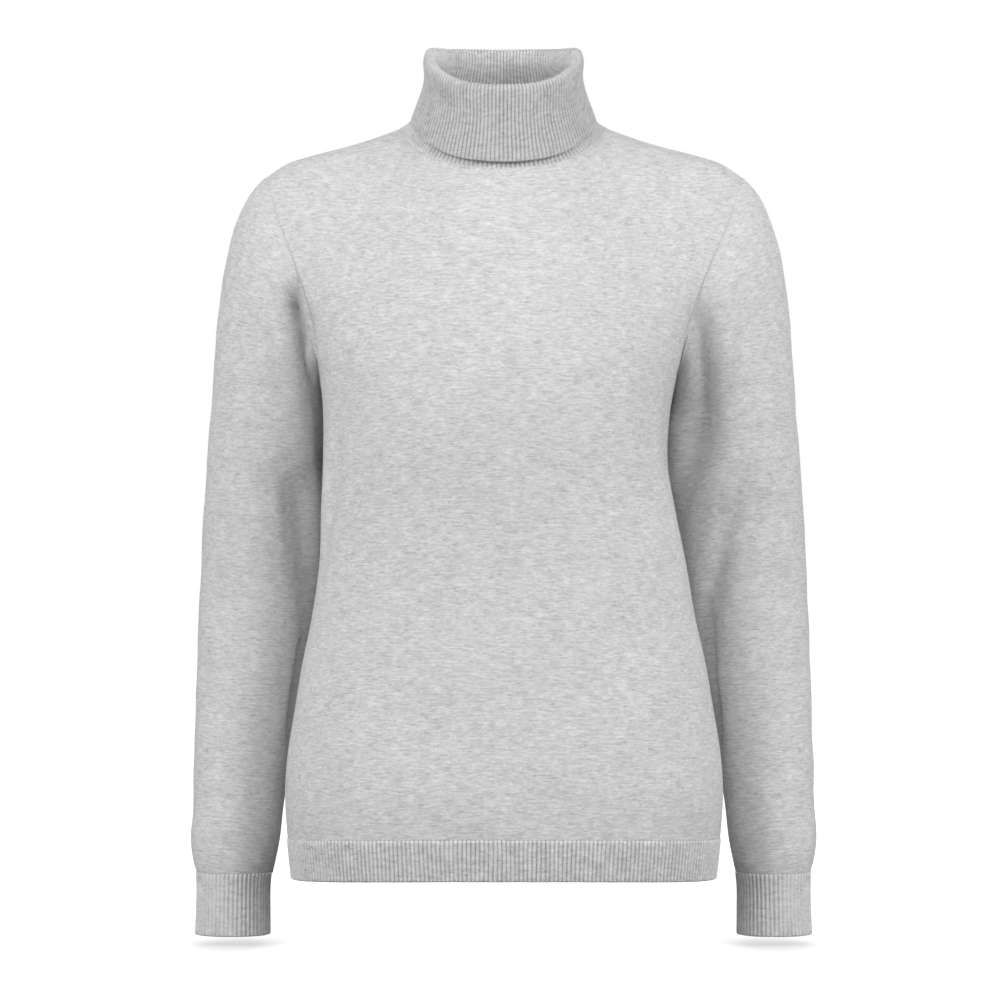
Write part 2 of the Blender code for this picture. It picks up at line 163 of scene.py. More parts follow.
def stack(x: Array, y: Array, z: Array) -> Array:
    """One array of points from arrays of coordinates, which may differ in shape."""
    return np.stack(np.broadcast_arrays(x, y, z), axis=-1).astype(float)


def spline(points: Sequence, s: Array) -> Array:
    """Points of a smooth curve through the given ones, at shares s of its length."""
    places = np.array(points, dtype=float)
    steps = np.linalg.norm(np.diff(places, axis=0), axis=1)
    length = np.concatenate([[0], np.cumsum(steps)])
    rows = np.column_stack([length / length[-1], places])
    return np.moveaxis(read_table(rows, s), 0, -1)


def grid_normals(grid: Array, closed: bool) -> Array:
    """Unit normals of a grid: the cross product of the steps along its rows and its columns.

    Args:
        grid: Points, row by row. On a closed grid the last column repeats the first.
        closed: Whether the rows join up.

    Returns:
        One normal for each point.
    """
    up = np.gradient(grid, axis=0)
    along = np.gradient(grid, axis=1)
    if closed:
        join = grid[:, 1] - grid[:, -2]
        along[:, 0] = join
        along[:, -1] = join
    return unit(np.cross(along, up))


def run_length(grid: Array, axis: int) -> Array:
    """Length along the cloth from the grid's first row or column to each point."""
    steps = np.linalg.norm(np.diff(grid, axis=axis), axis=-1)
    start = np.zeros_like(np.take(steps, [0], axis=axis))
    return np.cumsum(np.concatenate([start, steps], axis=axis), axis=axis)


def bell(distance: Array, width: float) -> Array:
    """A smooth bump that is 1 at distance 0 and fades over the width."""
    return np.exp(-((distance / width) ** 2))


def smooth(value: Array, start: float, end: float) -> Array:
    """A smooth step from 0 at start to 1 at end."""
    s = np.clip((value - start) / (end - start), 0, 1)
    return s * s * (3 - 2 * s)


@dataclass(frozen=True)
class Ripple:
    """Soft unevenness: a sum of plane waves with seeded directions, lengths and phases.

    A wave's number is that of the wavelength, times a factor between the two of spread.
    """

    seed: int
    wavelength: float
    height: float
    waves: int = 14
    spread: tuple = (0.55, 1.5)

    def at(self, u: Array, v: Array) -> Array:
        """The unevenness at flat places u and v in millimetres, mostly within its height."""
        random = np.random.default_rng(self.seed)
        total = np.zeros(np.broadcast(u, v).shape)
        for _ in range(self.waves):
            angle = random.uniform(0, np.pi)
            number = 2 * np.pi / self.wavelength * random.uniform(*self.spread)
            phase = random.uniform(0, 2 * np.pi)
            total += np.cos(number * (u * np.cos(angle) + v * np.sin(angle)) + phase)
        return self.height * (total / np.sqrt(2 * self.waves))


CREASE_SAMPLES = 28  # points on a crease's path to which distances are measured
CREASE_HALF_RUN = 0.45  # share of the path from its middle to where a third of a crease is left


class Crease(NamedTuple):
    """A soft fold of the cloth that follows a smooth path.

    Across a panel the path's first value is the across-position. Round a sleeve it is the
    angle in degrees from the outer edge forwards. The second value is the height.
    """

    path: tuple
    width: float
    height: float
    lean: float = 0.0

    def lift(self, across: Array, z: Array, unit_length: float) -> Array:
        """How far the crease lifts the cloth: a bell across the path, faded at its ends.

        Args:
            across: Across-positions or angles of the points.
            z: Heights of the points.
            unit_length: Millimetres of cloth to each unit of the across-position.

        Returns:
            The lift in millimetres. Lean makes one flank steeper than the other.
        """
        share = np.linspace(0, 1, CREASE_SAMPLES)
        if len(self.path) > 2:
            line = spline(self.path_in_cloth(unit_length), share)
        else:
            start, end = np.array(self.path_in_cloth(unit_length))
            line = start + (end - start) * share[:, None]
        dx = across[..., None] * unit_length - line[:, 0]
        dz = z[..., None] - line[:, 1]
        nearest = np.argmin(dx**2 + dz**2, axis=-1)
        run = np.gradient(line, axis=0)[nearest]
        dx = np.take_along_axis(dx, nearest[..., None], axis=-1)[..., 0]
        dz = np.take_along_axis(dz, nearest[..., None], axis=-1)[..., 0]
        side = np.sign(dx * run[..., 1] - dz * run[..., 0])
        beside = side * np.hypot(dx, dz) / self.width
        fade = np.exp(-(((share[nearest] - 0.5) / CREASE_HALF_RUN) ** 4))
        return self.height * fade * np.exp(-(beside**2)) * (1 + self.lean * np.tanh(2 * beside))

    def path_in_cloth(self, unit_length: float) -> list:
        """The path with its first values in millimetres of cloth."""
        return [(across * unit_length, z) for across, z in self.path]


# ---------------------------------------------------------------------------------------------
# Forms of the body, the arms and the collar
# ---------------------------------------------------------------------------------------------


class BodyLevel(NamedTuple):
    """A level section of the body."""

    z: float
    half_width: float
    front_depth: float
    back_depth: float


class Sway(NamedTuple):
    """How far the body hangs to one side at a height."""

    z: float
    x: float


class SeamPoint(NamedTuple):
    """A point of the armhole seam on the wearer's left."""

    x: float
    y: float
    z: float


class ShoulderPoint(NamedTuple):
    """A point of the shoulder seam on the wearer's left, by across-position."""

    across: float
    x: float
    y: float
    z: float


class ArmLevel(NamedTuple):
    """A level section of the wearer's left sleeve."""

    z: float
    centre_x: float
    centre_y: float
    half_width: float
    half_depth: float


class CollarRing(NamedTuple):
    """A ring of the collar, with its heights at RING_ANGLES from the front centre."""

    half_width: float
    front_depth: float
    back_depth: float
    heights: tuple


RING_ANGLES = (0, 30, 60, 90, 135, 180)
NECKLINE = CollarRing(86, 71, 68, (-36, -31, -14, 4, 5, 3))

BODY_LEVELS = (
    BodyLevel(-209, 154.0, 118, 116),
    BodyLevel(-232, 150.0, 119, 115),
    BodyLevel(-260, 148.0, 118, 112),
    BodyLevel(-290, 148.3, 115, 107),
    BodyLevel(-320, 151.4, 112, 101),
    BodyLevel(-365, 156.5, 110, 97),
    BodyLevel(-420, 165.0, 110, 100),
    BodyLevel(-457, 173.0, 111, 105),
    BodyLevel(-500, 180.2, 114, 111),
    BodyLevel(-531, 185.3, 116, 114),
    BodyLevel(-569, 188.0, 118, 116),
    BodyLevel(-608, 185.6, 116, 114),
    BodyLevel(-642, 182.0, 112, 110),
)
SWAY = (
    Sway(60, 0.0),
    Sway(-90, 0.0),
    Sway(-150, -1.8),
    Sway(-209, -4.4),
    Sway(-245, -6.2),
    Sway(-285, -7.0),
    Sway(-325, -4.6),
    Sway(-370, -0.8),
    Sway(-420, 0.0),
    Sway(-700, 0.0),
)
ARMHOLE = {
    Face.FRONT: (
        SeamPoint(154.0, 0, -209),
        SeamPoint(154.3, -18, -203),
        SeamPoint(156.0, -34, -188),
        SeamPoint(160.0, -44, -165),
        SeamPoint(167.5, -47, -141),
        SeamPoint(177.5, -43, -115),
        SeamPoint(187.5, -34, -90),
        SeamPoint(197.0, -19, -64),
        SeamPoint(202.5, -5, -47),
        SeamPoint(205.0, 8, -38.6),
    ),
    Face.BACK: (
        SeamPoint(154.0, 0, -209),
        SeamPoint(154.3, 20, -203),
        SeamPoint(156.0, 40, -186),
        SeamPoint(162.0, 56, -160),
        SeamPoint(172.0, 62, -130),
        SeamPoint(183.0, 60, -100),
        SeamPoint(192.0, 50, -75),
        SeamPoint(200.0, 32, -51),
        SeamPoint(205.0, 8, -38.6),
    ),
}
SHOULDER_START = 0.5
SHOULDER = (
    ShoulderPoint(0.50, 86, 2, 4),
    ShoulderPoint(0.60, 108, 3, -4),
    ShoulderPoint(0.72, 136, 4, -12.5),
    ShoulderPoint(0.84, 165, 6, -19.8),
    ShoulderPoint(0.93, 188, 7, -27.4),
    ShoulderPoint(1.00, 205, 8, -38.6),
)
ARM_LEVELS = (
    ArmLevel(-255, 202.8, 28, 51.5, 51),
    ArmLevel(-310, 205.6, 36, 53.5, 50),
    ArmLevel(-360, 208.3, 43, 54.0, 49),
    ArmLevel(-400, 210.9, 47, 53.5, 47),
    ArmLevel(-450, 216.6, 47, 49.5, 44),
    ArmLevel(-500, 222.7, 44, 44.8, 41),
    ArmLevel(-550, 228.5, 39, 40.6, 38),
    ArmLevel(-582, 231.0, 35, 38.6, 36.5),
    ArmLevel(-612, 233.4, 32, 37.6, 35),
    ArmLevel(-630, 233.8, 30, 34.4, 33),
    ArmLevel(-639, 233.6, 29, 32.2, 31.2),
    ArmLevel(-648, 233.8, 28.2, 31.4, 30.6),
    ArmLevel(-670, 234.0, 26.2, 31.4, 30.4),
    ArmLevel(-694, 234.3, 24, 32.0, 30.6),
)

PANEL_UNIT = 235.0  # millimetres of cloth to each unit of a panel's across-position
SLEEVE_UNIT = 0.9  # millimetres of cloth to each degree round a sleeve
RIB_PITCH = 3.6
COLLAR_RIBS = 132
HEM_RIBS = 134
CUFF_RIBS = 52
NECK_FLANGE = 3.4  # how far the collar's cloth reaches into the panels' surface
NECK_FADE_AT = 5.8  # how far along the collar's cloth the rib map passes zero
NECK_FADE_RATE = 0.3  # how much the rib map falls with each millimetre along that cloth
NECK_END_RATE = 220.0  # millimetres that a unit of across-position past the neckline counts for
NECK_END = (-0.002, 0.01)  # across-positions inside the neckline's end where its seam is gone
COLLAR_FOLD_AT = 0.0788  # how far along its cloth the collar folds over, in metres
SEAM_AWAY = 40.0  # a distance at which no seam shows
NOISE_SHIFT = (0.37, 0.83)  # how far from a map's zero the noise starts, in metres
NOISE_START = (0.31, 0.57)  # a further shift, in spots, that parts the scales' zero lines

# The large creases come first, which the solids have too, and then the small soft ones.
PANEL_CREASES = {
    Face.FRONT: (
        Crease(((-0.97, -85), (-0.90, -140)), 11, -3.0),
        Crease(((0.97, -80), (0.90, -135)), 11, -3.0),
        Crease(((-0.62, -215), (-0.86, -380)), 14, -2.5),
        Crease(((0.80, -225), (1.00, -300)), 20, -4.0),
        Crease(((-0.30, -470), (0.25, -440)), 30, 1.5),
        Crease(((-0.70, -225), (-0.745, -290), (-0.84, -350), (-0.93, -392)), 13, -3.0),
    ),
    Face.BACK: (
        Crease(((-0.95, -95), (-0.86, -160)), 14, -3.0),
        Crease(((0.95, -95), (0.86, -160)), 14, -3.0),
        Crease(((-0.55, -330), (0.10, -345)), 16, 3.0),
        Crease(((-0.10, -372), (0.60, -355)), 16, 3.0),
        Crease(((0.80, -235), (1.00, -300)), 20, -3.5),
        Crease(((-0.48, -296), (0.02, -305), (0.36, -298)), 11, 1.8, 0.3),
        Crease(((-0.62, -372), (-0.30, -392)), 12, 1.6),
        Crease(((0.55, -92), (0.74, -150)), 16, -2.0),
        Crease(((-0.52, -96), (-0.72, -158)), 18, -1.8),
    ),
}
SLEEVE_CREASES = {
    Side.LEFT: (
        Crease(((112, -150), (128, -300)), 12, -4.5),
        Crease(((62, -306), (115, -395)), 14, -5.0),
        Crease(((186, -232), (184, -345)), 34, 9.5),
        Crease(((240, -360), (300, -330)), 16, -4.0),
        Crease(((240, -395), (310, -420)), 16, 3.0),
        Crease(((180, -196), (184, -270)), 24, 7.0),
        Crease(((100, -142), (115, -165), (126, -190), (131, -228), (135, -268)), 10, -7.0),
        Crease(((134, -246), (140, -268), (147, -290), (156, -312), (168, -340)), 12, -10.5),
        Crease(((84, -298), (97, -327), (111, -356), (125, -388), (144, -450)), 12, -9.0),
        Crease(((140, -408), (146, -450), (152, -492), (164, -540)), 9, -9.0),
        Crease(((80, -296), (94, -336), (108, -384)), 8, 2.0),
        Crease(((250, -312), (292, -298), (330, -304)), 11, -2.4),
        Crease(((236, -430), (270, -446), (306, -444)), 12, 2.0),
    ),
    Side.RIGHT: (
        Crease(((95, -140), (122, -215)), 12, -5.0),
        Crease(((88, -284), (128, -400)), 15, -5.5),
        Crease(((170, -215), (172, -320)), 22, -5.0),
        Crease(((218, -215), (215, -330)), 24, 5.0),
        Crease(((240, -365), (300, -320)), 16, -4.0),
        Crease(((230, -400), (305, -410)), 16, 3.0),
        Crease(((180, -192), (180, -285)), 26, 8.0),
        Crease(
            ((84, -130), (99, -148), (114, -166), (128, -182), (141, -200), (154, -222)),
            12, -11.0,
        ),
        Crease(((98, -146), (112, -164), (125, -182), (134, -204)), 9, -8.0),
        Crease(((100, -176), (114, -204), (122, -240), (126, -300)), 14, 4.0),
        Crease(((142, -206), (152, -250), (156, -300)), 12, -4.0),
        Crease(((112, -290), (126, -318), (136, -352), (144, -392), (154, -436)), 15, -12.0),
        Crease(((150, -430), (156, -480), (162, -530)), 9, -9.0),
        Crease(((88, -276), (102, -318), (112, -356), (120, -394)), 8, 2.4),
        Crease(((246, -306), (288, -286), (326, -292)), 11, -2.4),
        Crease(((232, -440), (268, -452), (300, -446)), 12, 2.0),
    ),
}


def ring_heights(ring: CollarRing, angle: Array) -> Array:
    """Heights of a collar ring at angles in radians from the front centre."""
    folded = np.degrees(np.abs((angle + np.pi) % (2 * np.pi) - np.pi))
    rows = np.column_stack([RING_ANGLES, ring.heights])
    mirrored = np.vstack([[-rows[1, 0], rows[1, 1]], rows, [225, rows[-2, 1]]])
    return read_table(mirrored, folded)[0]


def ring_points(ring: CollarRing, angle: Array) -> Array:
    """Points of a collar ring: half an ellipse in front and half of another behind."""
    cosine = np.cos(angle)
    depth = np.where(cosine > 0, ring.front_depth, ring.back_depth)
    return stack(ring.half_width * np.sin(angle), -depth * cosine, ring_heights(ring, angle))


def on_shoulders(ring: CollarRing, angle: Array) -> Array:
    """Points of a ring at the neckline: at its sides it lies behind its own middle."""
    points = ring_points(ring, angle)
    points[..., 1] += SHOULDER[0].y * np.abs(np.sin(angle))
    return points


def swayed(points: Array) -> Array:
    """The points moved sideways with the body's sway."""
    return points + stack(read_table(SWAY, points[..., 2])[0], 0, 0)


@dataclass(frozen=True)
class BodyForm:
    """The worn form of the two body panels.

    Above the underarm each column is a cubic. It leaves the level section at the section's own
    slope, taken over slope_step and times chest_reach. It arrives at the top edge with a turn
    over the shoulder, and with a rise that is greater towards the middle of the neck. Columns
    past the across-position bend_from bend onto the armhole seam.

    Columns within about soft_reach of the neckline's ends are softened so many times. The
    softening comes in over soft_start and goes out over soft_end, as shares of the way up.
    """

    underarm_z: float = -209.0
    rib_top_z: float = -606.0
    hem_z: float = -640.0
    front_squareness: float = 2.3
    back_squareness: float = 2.1
    front_hem_rise: float = 5.0
    back_hem_rise: float = -5.0
    slope_step: float = 10.0
    chest_reach: float = 1.2
    top_turn: float = 1.45
    shoulder_rise: float = 0.08
    neck_rise: float = 0.67
    bend_from: float = 0.45
    softening: int = 160
    soft_reach: float = 0.24
    soft_start: tuple = (0.0, 0.2)
    soft_end: tuple = (0.93, 1.0)

    def section(self, face: Face, across: Array, z: Array) -> Array:
        """Level sections: superellipse quarters mirrored about the panel's centre."""
        half_width, front_depth, back_depth = read_table(BODY_LEVELS, z)
        depth = front_depth if face is Face.FRONT else back_depth
        squareness = self.front_squareness if face is Face.FRONT else self.back_squareness
        angle = across * np.pi / 2
        x = half_width * np.sign(across) * np.abs(np.sin(angle)) ** (2 / squareness)
        y = face.facing * depth * np.cos(angle).clip(0) ** (2 / squareness)
        return stack(x, y, z)

    def hem_height(self, face: Face, across: Array, side_z: float) -> Array:
        """A height across a panel that rises or drops towards the centre with cosine squared."""
        rise = self.front_hem_rise if face is Face.FRONT else self.back_hem_rise
        return side_z + rise * np.cos(across * np.pi / 2) ** 2

    def even_across(self, face: Face, count: int) -> Array:
        """Across-positions that lie at even steps along the cloth, at the top of the rib."""
        dense = np.linspace(-1, 1, 4001)
        line = self.section(face, dense, np.full_like(dense, self.rib_top_z))
        length = run_length(line[None], 1)[0]
        return np.interp(np.linspace(0, length[-1], count), length, dense)

    def top_edge(self, face: Face, across: Array) -> Array:
        """A panel's top edge: half the neckline between its two shoulder seams."""
        reach = np.abs(across)
        x, y, z = read_table(SHOULDER, np.maximum(reach, SHOULDER_START))
        shoulder = stack(np.sign(across) * x, y, z)
        angle = across * np.pi
        neck = on_shoulders(NECKLINE, angle if face is Face.FRONT else np.pi - angle)
        return np.where((reach < SHOULDER_START)[..., None], neck, shoulder)

    def panel(self, face: Face, across: Array, lower: Array, upper: Array) -> Array:
        """The panel's surface: level sections below the underarm, cubic columns above it.

        Args:
            face: Which panel.
            across: Across-positions of the columns.
            lower: Shares of the way from the rib to the underarm, without 1.
            upper: Shares of the way from the underarm to the top edge.

        Returns:
            The points, bottom row first.
        """
        bottom = self.hem_height(face, across, self.rib_top_z)
        levels = bottom + (self.underarm_z - bottom) * lower[:, None]
        below_arm = self.section(face, across, levels)

        s = upper[:, None, None]
        start = self.section(face, across, np.full_like(across, self.underarm_z))
        below_z = np.full_like(across, self.underarm_z - self.slope_step)
        below = self.section(face, across, below_z)
        end = self.top_edge(face, across)
        rise = (end - start)[:, 2:]
        start_slope = (start - below) / self.slope_step * rise * self.chest_reach
        neck_share = np.cos(np.minimum(np.abs(across), SHOULDER_START) * np.pi)
        turn = self.top_turn * (end - start)[:, 1]
        steepness = rise[:, 0] * (self.shoulder_rise + self.neck_rise * neck_share)
        end_slope = stack(np.zeros_like(across), turn, steepness)
        above_arm = hermite(start, end, start_slope, end_slope, s)

        seam = spline(ARMHOLE[face], upper)
        outer_share = (np.abs(across) - self.bend_from) / (1 - self.bend_from)
        pull = (outer_share.clip(0) ** 2)[None, :, None]
        for sign in (-1, 1):
            edge = 0 if sign < 0 else -1
            move = (seam * (sign, 1, 1) - above_arm[:, edge])[:, None, :]
            above_arm += move * pull * (np.sign(across) == sign)[None, :, None]
        return np.concatenate([below_arm, self.softened(above_arm, across, upper)])

    def softened(self, rows: Array, across: Array, upper: Array) -> Array:
        """The rows with their bend below the neckline's ends spread over nearby columns.

        Args:
            rows: Points above the underarm.
            across: Across-positions of the columns.
            upper: Shares of the way up of the rows; the top edge stays as it is.

        Returns:
            The softened points.
        """
        near_bend = bell(np.abs(across) - SHOULDER_START, self.soft_reach)
        share = 0.5 * np.outer(1 - smooth(upper, *self.soft_end), near_bend)[:, 1:-1, None]
        share = share * smooth(upper, *self.soft_start)[:, None, None]
        for _ in range(self.softening):
            between = (rows[:, :-2] + rows[:, 2:]) / 2
            rows[:, 1:-1] += share * (between - rows[:, 1:-1])
        return rows


@dataclass(frozen=True)
class ArmForm:
    """The worn form of a sleeve.

    The cap's columns leave the armhole sideways, then forwards in front and backwards behind,
    and downwards, by the three leave values. Their pull is top_pull at the shoulder, and
    less_under weaker underneath.
    """

    cap_end_z: float = -255.0
    sleeve_end_z: float = -639.0
    cuff_end_z: float = -690.5
    slope_step: float = 10.0
    leave_out: float = 0.8
    leave_round: float = -0.28
    leave_down: float = -0.6
    top_pull: float = 0.72
    less_under: float = 0.24

    def section(self, side: Side, angle: Array, z: Array) -> Array:
        """Level sections: ellipses, at angles from the outer edge towards the front."""
        centre_x, centre_y, half_width, half_depth = read_table(ARM_LEVELS, z)
        x = side.value * (centre_x + half_width * np.cos(angle))
        return stack(x, centre_y - half_depth * np.sin(angle), z)

    def surface(self, side: Side, angle: Array, cap: Array, arm: Array) -> Array:
        """The sleeve's surface: cubic columns from the armhole to the cap's end, then sections.

        Args:
            side: Which arm.
            angle: Angles of the columns from the outer edge forwards.
            cap: Shares of the way down the cap.
            arm: Heights of the rows below the cap.

        Returns:
            The points, armhole row first.
        """
        turned = angle % (2 * np.pi)
        forward = turned <= np.pi
        front = spline(ARMHOLE[Face.FRONT], np.clip(1 - turned / np.pi, 0, 1))
        back = spline(ARMHOLE[Face.BACK], np.clip(turned / np.pi - 1, 0, 1))
        loop = swayed(np.where(forward[:, None], front, back) * (side.value, 1, 1))

        level = np.full_like(angle, self.cap_end_z)
        ring = self.section(side, angle, level)
        onward = (self.section(side, angle, level - self.slope_step) - ring) / self.slope_step
        reach = np.linalg.norm(ring - loop, axis=-1, keepdims=True)
        under = (1 - np.cos(angle)) / 2
        leave_y = self.leave_round * np.sin(angle)
        leave = unit(stack(side.value * self.leave_out, leave_y, self.leave_down))
        push = (self.top_pull - self.less_under * under)[:, None] * reach
        top = hermite(loop, ring, leave * push, onward * reach, cap[:, None, None])
        return np.concatenate([top, self.section(side, angle, arm[:, None])])


# ---------------------------------------------------------------------------------------------
# Walls of cloth
# ---------------------------------------------------------------------------------------------


@dataclass
class ClothFace:
    """One face of a wall: its points and its maps by name, row by row, in millimetres."""

    points: Array
    maps: dict[str, Array]

    def lining(self, points: Array, step: int) -> "ClothFace":
        """The inner face that goes with this outer one.

        Args:
            points: Points of the inner face, as many as the outer face has.
            step: How many rows and columns of them go into each one that is kept.

        Returns:
            The inner face, on which no seam shows.
        """
        maps = {title: flat[::step, ::step] for title, flat in self.maps.items()}
        maps["seam"] = maps["seam"] + (SEAM_AWAY, 0)
        return ClothFace(points[::step, ::step], maps)


def grid_numbers(rows: int, columns: int, closed: bool, start: int = 0) -> Array:
    """Numbers of a grid's points, row by row.

    Args:
        rows: Rows of the grid.
        columns: Columns of the grid.
        closed: Whether the last column stands for the same points as the first.
        start: The first number.

    Returns:
        The numbers in the grid's shape.
    """
    used = columns - 1 if closed else columns
    index = start + np.arange(rows * used).reshape(rows, used)
    return np.concatenate([index, index[:, :1]], axis=1) if closed else index


def grid_quads(index: Array, flipped: bool) -> Array:
    """Quads of a grid of numbers: each cell takes its four corners in turn."""
    corners = (index[:-1, :-1], index[:-1, 1:], index[1:, 1:], index[1:, :-1])
    quads = np.stack(corners, axis=-1).reshape(-1, 4)
    return quads[:, ::-1] if flipped else quads


def rim_triangles(fine: Array, coarse: Array, flipped: bool) -> Array:
    """Triangles between a line of points and a line beside it with as many or fewer spans.

    Args:
        fine: Numbers of the finer line's points.
        coarse: Numbers of the coarser line's points.
        flipped: Whether the triangles turn the other way.

    Returns:
        The triangles, three numbers each.
    """
    ratio = (len(fine) - 1) // (len(coarse) - 1)
    step = np.arange(len(fine) - 1)
    near = coarse[step // ratio + (step % ratio >= ratio // 2)]
    fans = np.stack([fine[1:], fine[:-1], near], axis=-1)
    middle = fine[np.arange(len(coarse) - 1) * ratio + ratio // 2]
    gaps = np.stack([coarse[:-1], coarse[1:], middle], axis=-1)
    triangles = np.concatenate([fans, gaps])
    return triangles[:, ::-1] if flipped else triangles


def enclosed_volume(points: Array, triangles: Array) -> float:
    """The signed volume inside a closed mesh: a sixth of each triangle's box product."""
    a, b, c = (points[triangles[:, corner]] for corner in range(3))
    return float(np.einsum("ij,ij->i", a, np.cross(b, c)).sum() / 6)


@dataclass
class Wall:
    """A closed wall of cloth between an outer and an inner face.

    On a closed wall the last column of every grid repeats the first one's place, but not its
    place in the maps, so a pattern meets itself only at the piece's own seam.
    """

    name: str
    outer: ClothFace
    inner: ClothFace
    closed: bool

    def build(self) -> bpy.types.Object:
        """Makes the mesh: both faces' quads, and rims of triangles along their edges."""
        outer_size = self.outer.points.shape[:2]
        inner_size = self.inner.points.shape[:2]
        outer_points = grid_numbers(*outer_size, self.closed)
        inner_points = grid_numbers(*inner_size, self.closed, int(outer_points.max()) + 1)
        outer_maps = grid_numbers(*outer_size, False)
        inner_maps = grid_numbers(*inner_size, False, outer_maps.size)

        quads, triangles = [], []
        for outer, inner in ((outer_points, inner_points), (outer_maps, inner_maps)):
            quads.append(np.concatenate([grid_quads(outer, False), grid_quads(inner, True)]))
            rims = [
                rim_triangles(outer[0], inner[0], False),
                rim_triangles(outer[-1], inner[-1], True),
            ]
            if not self.closed:
                rims.append(rim_triangles(outer[:, 0], inner[:, 0], True))
                rims.append(rim_triangles(outer[:, -1], inner[:, -1], False))
            triangles.append(np.concatenate(rims))

        keep = slice(None, -1) if self.closed else slice(None)
        faces = (self.outer, self.inner)
        points = np.concatenate([face.points[:, keep].reshape(-1, 3) for face in faces])
        maps = {
            title: np.concatenate([face.maps[title].reshape(-1, 2) for face in faces])
            for title in self.outer.maps
        }
        return make_mesh(self.name, points, quads, triangles, maps)


def make_mesh(
    name: str, points: Array, quads: list, triangles: list, maps: dict[str, Array]
) -> bpy.types.Object:
    """Puts points, faces and maps into a mesh object at the origin, with its faces outwards.

    Args:
        name: The piece's name.
        points: Points in millimetres.
        quads: Point numbers and map numbers of the quads.
        triangles: Point numbers and map numbers of the triangles, whose edges stay sharp.
        maps: Flat places in millimetres, by map name.

    Returns:
        The object.
    """
    split = np.concatenate([quads[0][:, :3], quads[0][:, [0, 2, 3]], triangles[0]])
    if enclosed_volume(points, split) < 0:
        quads = [group[:, ::-1] for group in quads]
        triangles = [group[:, ::-1] for group in triangles]
    mesh = bpy.data.meshes.new(name)
    corners = np.concatenate([quads[0].ravel(), triangles[0].ravel()])
    places = np.concatenate([quads[1].ravel(), triangles[1].ravel()])
    starts = np.concatenate([
        np.arange(len(quads[0])) * 4,
        quads[0].size + np.arange(len(triangles[0])) * 3,
    ])
    mesh.vertices.add(len(points))
    mesh.vertices.foreach_set("co", (points * METRES).astype(np.float32).ravel())
    mesh.loops.add(len(corners))
    mesh.loops.foreach_set("vertex_index", corners.astype(np.int32))
    mesh.polygons.add(len(starts))
    mesh.polygons.foreach_set("loop_start", starts.astype(np.int32))
    smooth_faces = np.arange(len(starts)) < len(quads[0])
    mesh.polygons.foreach_set("use_smooth", smooth_faces)
    for title, flat in maps.items():
        layer = mesh.uv_layers.new(name=title)
        layer.uv.foreach_set("vector", (flat[places] * METRES).astype(np.float32).ravel())
    mesh.update(calc_edges=True)
    mesh.validate()
    piece = bpy.data.objects.new(name, mesh)
    bpy.context.scene.collection.objects.link(piece)
    return piece


# How the last few rows or columns before an edge close up, as shares of one even step.
RIB_EDGE = (0.5, 0.8)
SEAM_EDGE = (0.5, 0.8, 0.92)
SIDE_EDGE = (0.55, 0.8, 0.92, 0.97)


def shares(count: int, refined: Sequence[float] = ()) -> Array:
    """Even shares from 0 to 1, the last few closer together.

    Args:
        count: How many shares there are in all.
        refined: Where the added ones lie between the last two even ones, from 0 to 1.

    Returns:
        The shares.
    """
    even = np.linspace(0, 1, count - len(refined))
    if not refined:
        return even
    last = even[-2]
    return np.concatenate([even[:-1], last + (1 - last) * np.array(refined), [1.0]])


@dataclass
class SeamFinish:
    """How the cloth dips into a linked seam, with a fine ridge of linking stitches beside it."""

    dip: float = 0.15
    dip_width: float = 1.1
    ridge: float = 0.32
    ridge_at: float = 2.3
    ridge_width: float = 1.0

    def lift(self, distance: Array) -> Array:
        """The lift at distances from the seam in millimetres."""
        dip = -self.dip * bell(distance, self.dip_width)
        return dip + self.ridge * bell(distance - self.ridge_at, self.ridge_width)


JERSEY_WALL = 1.8
INNER_STEP = 2  # rows and columns of an outer face to each one of its inner face
SEAM_HOLD = (2, 30)  # millimetres from a seam between which the cloth comes to lie unevenly
RIB_HOLD = (0, 12)  # the same from a rib
ARMHOLE_BAND = (0.7, 1.0)  # across-positions between which a panel's wale turns upright
ARMHOLE_DEPTH_LOSS = 0.7  # the share of the depth that then no longer counts as length
PANEL_RIPPLES = {
    Face.FRONT: (Ripple(16, 62, 0.55), Ripple(28, 19, 0.10)),
    Face.BACK: (Ripple(15, 62, 0.55), Ripple(27, 19, 0.10)),
}
SLEEVE_RIPPLES = {Side.LEFT: Ripple(32, 55, 0.5), Side.RIGHT: Ripple(30, 55, 0.5)}


def looseness(from_seam: Array, from_rib: Array) -> Array:
    """How freely the cloth lies, from 0 at a seam or a rib to 1 well away from both."""
    return smooth(from_seam, *SEAM_HOLD) * smooth(from_rib, *RIB_HOLD)


def jersey_wall(
    name: str, base: Array, normals: Array, seam: SeamFinish, maps: dict, closed: bool
) -> Wall:
    """The wall of a plain knit piece: its seams show on the outer face alone.

    Args:
        name: The piece's name.
        base: Points of the outer face without its seams.
        normals: Directions out of the cloth at those points.
        seam: How the cloth lies beside a seam.
        maps: The outer face's maps by name.
        closed: Whether the rows join up.

    Returns:
        The wall.
    """
    shown = base + normals * seam.lift(maps["seam"][..., 0])[..., None]
    outer = ClothFace(shown, maps)
    inner = outer.lining(base - normals * JERSEY_WALL, INNER_STEP)
    return Wall(name, outer, inner, closed)


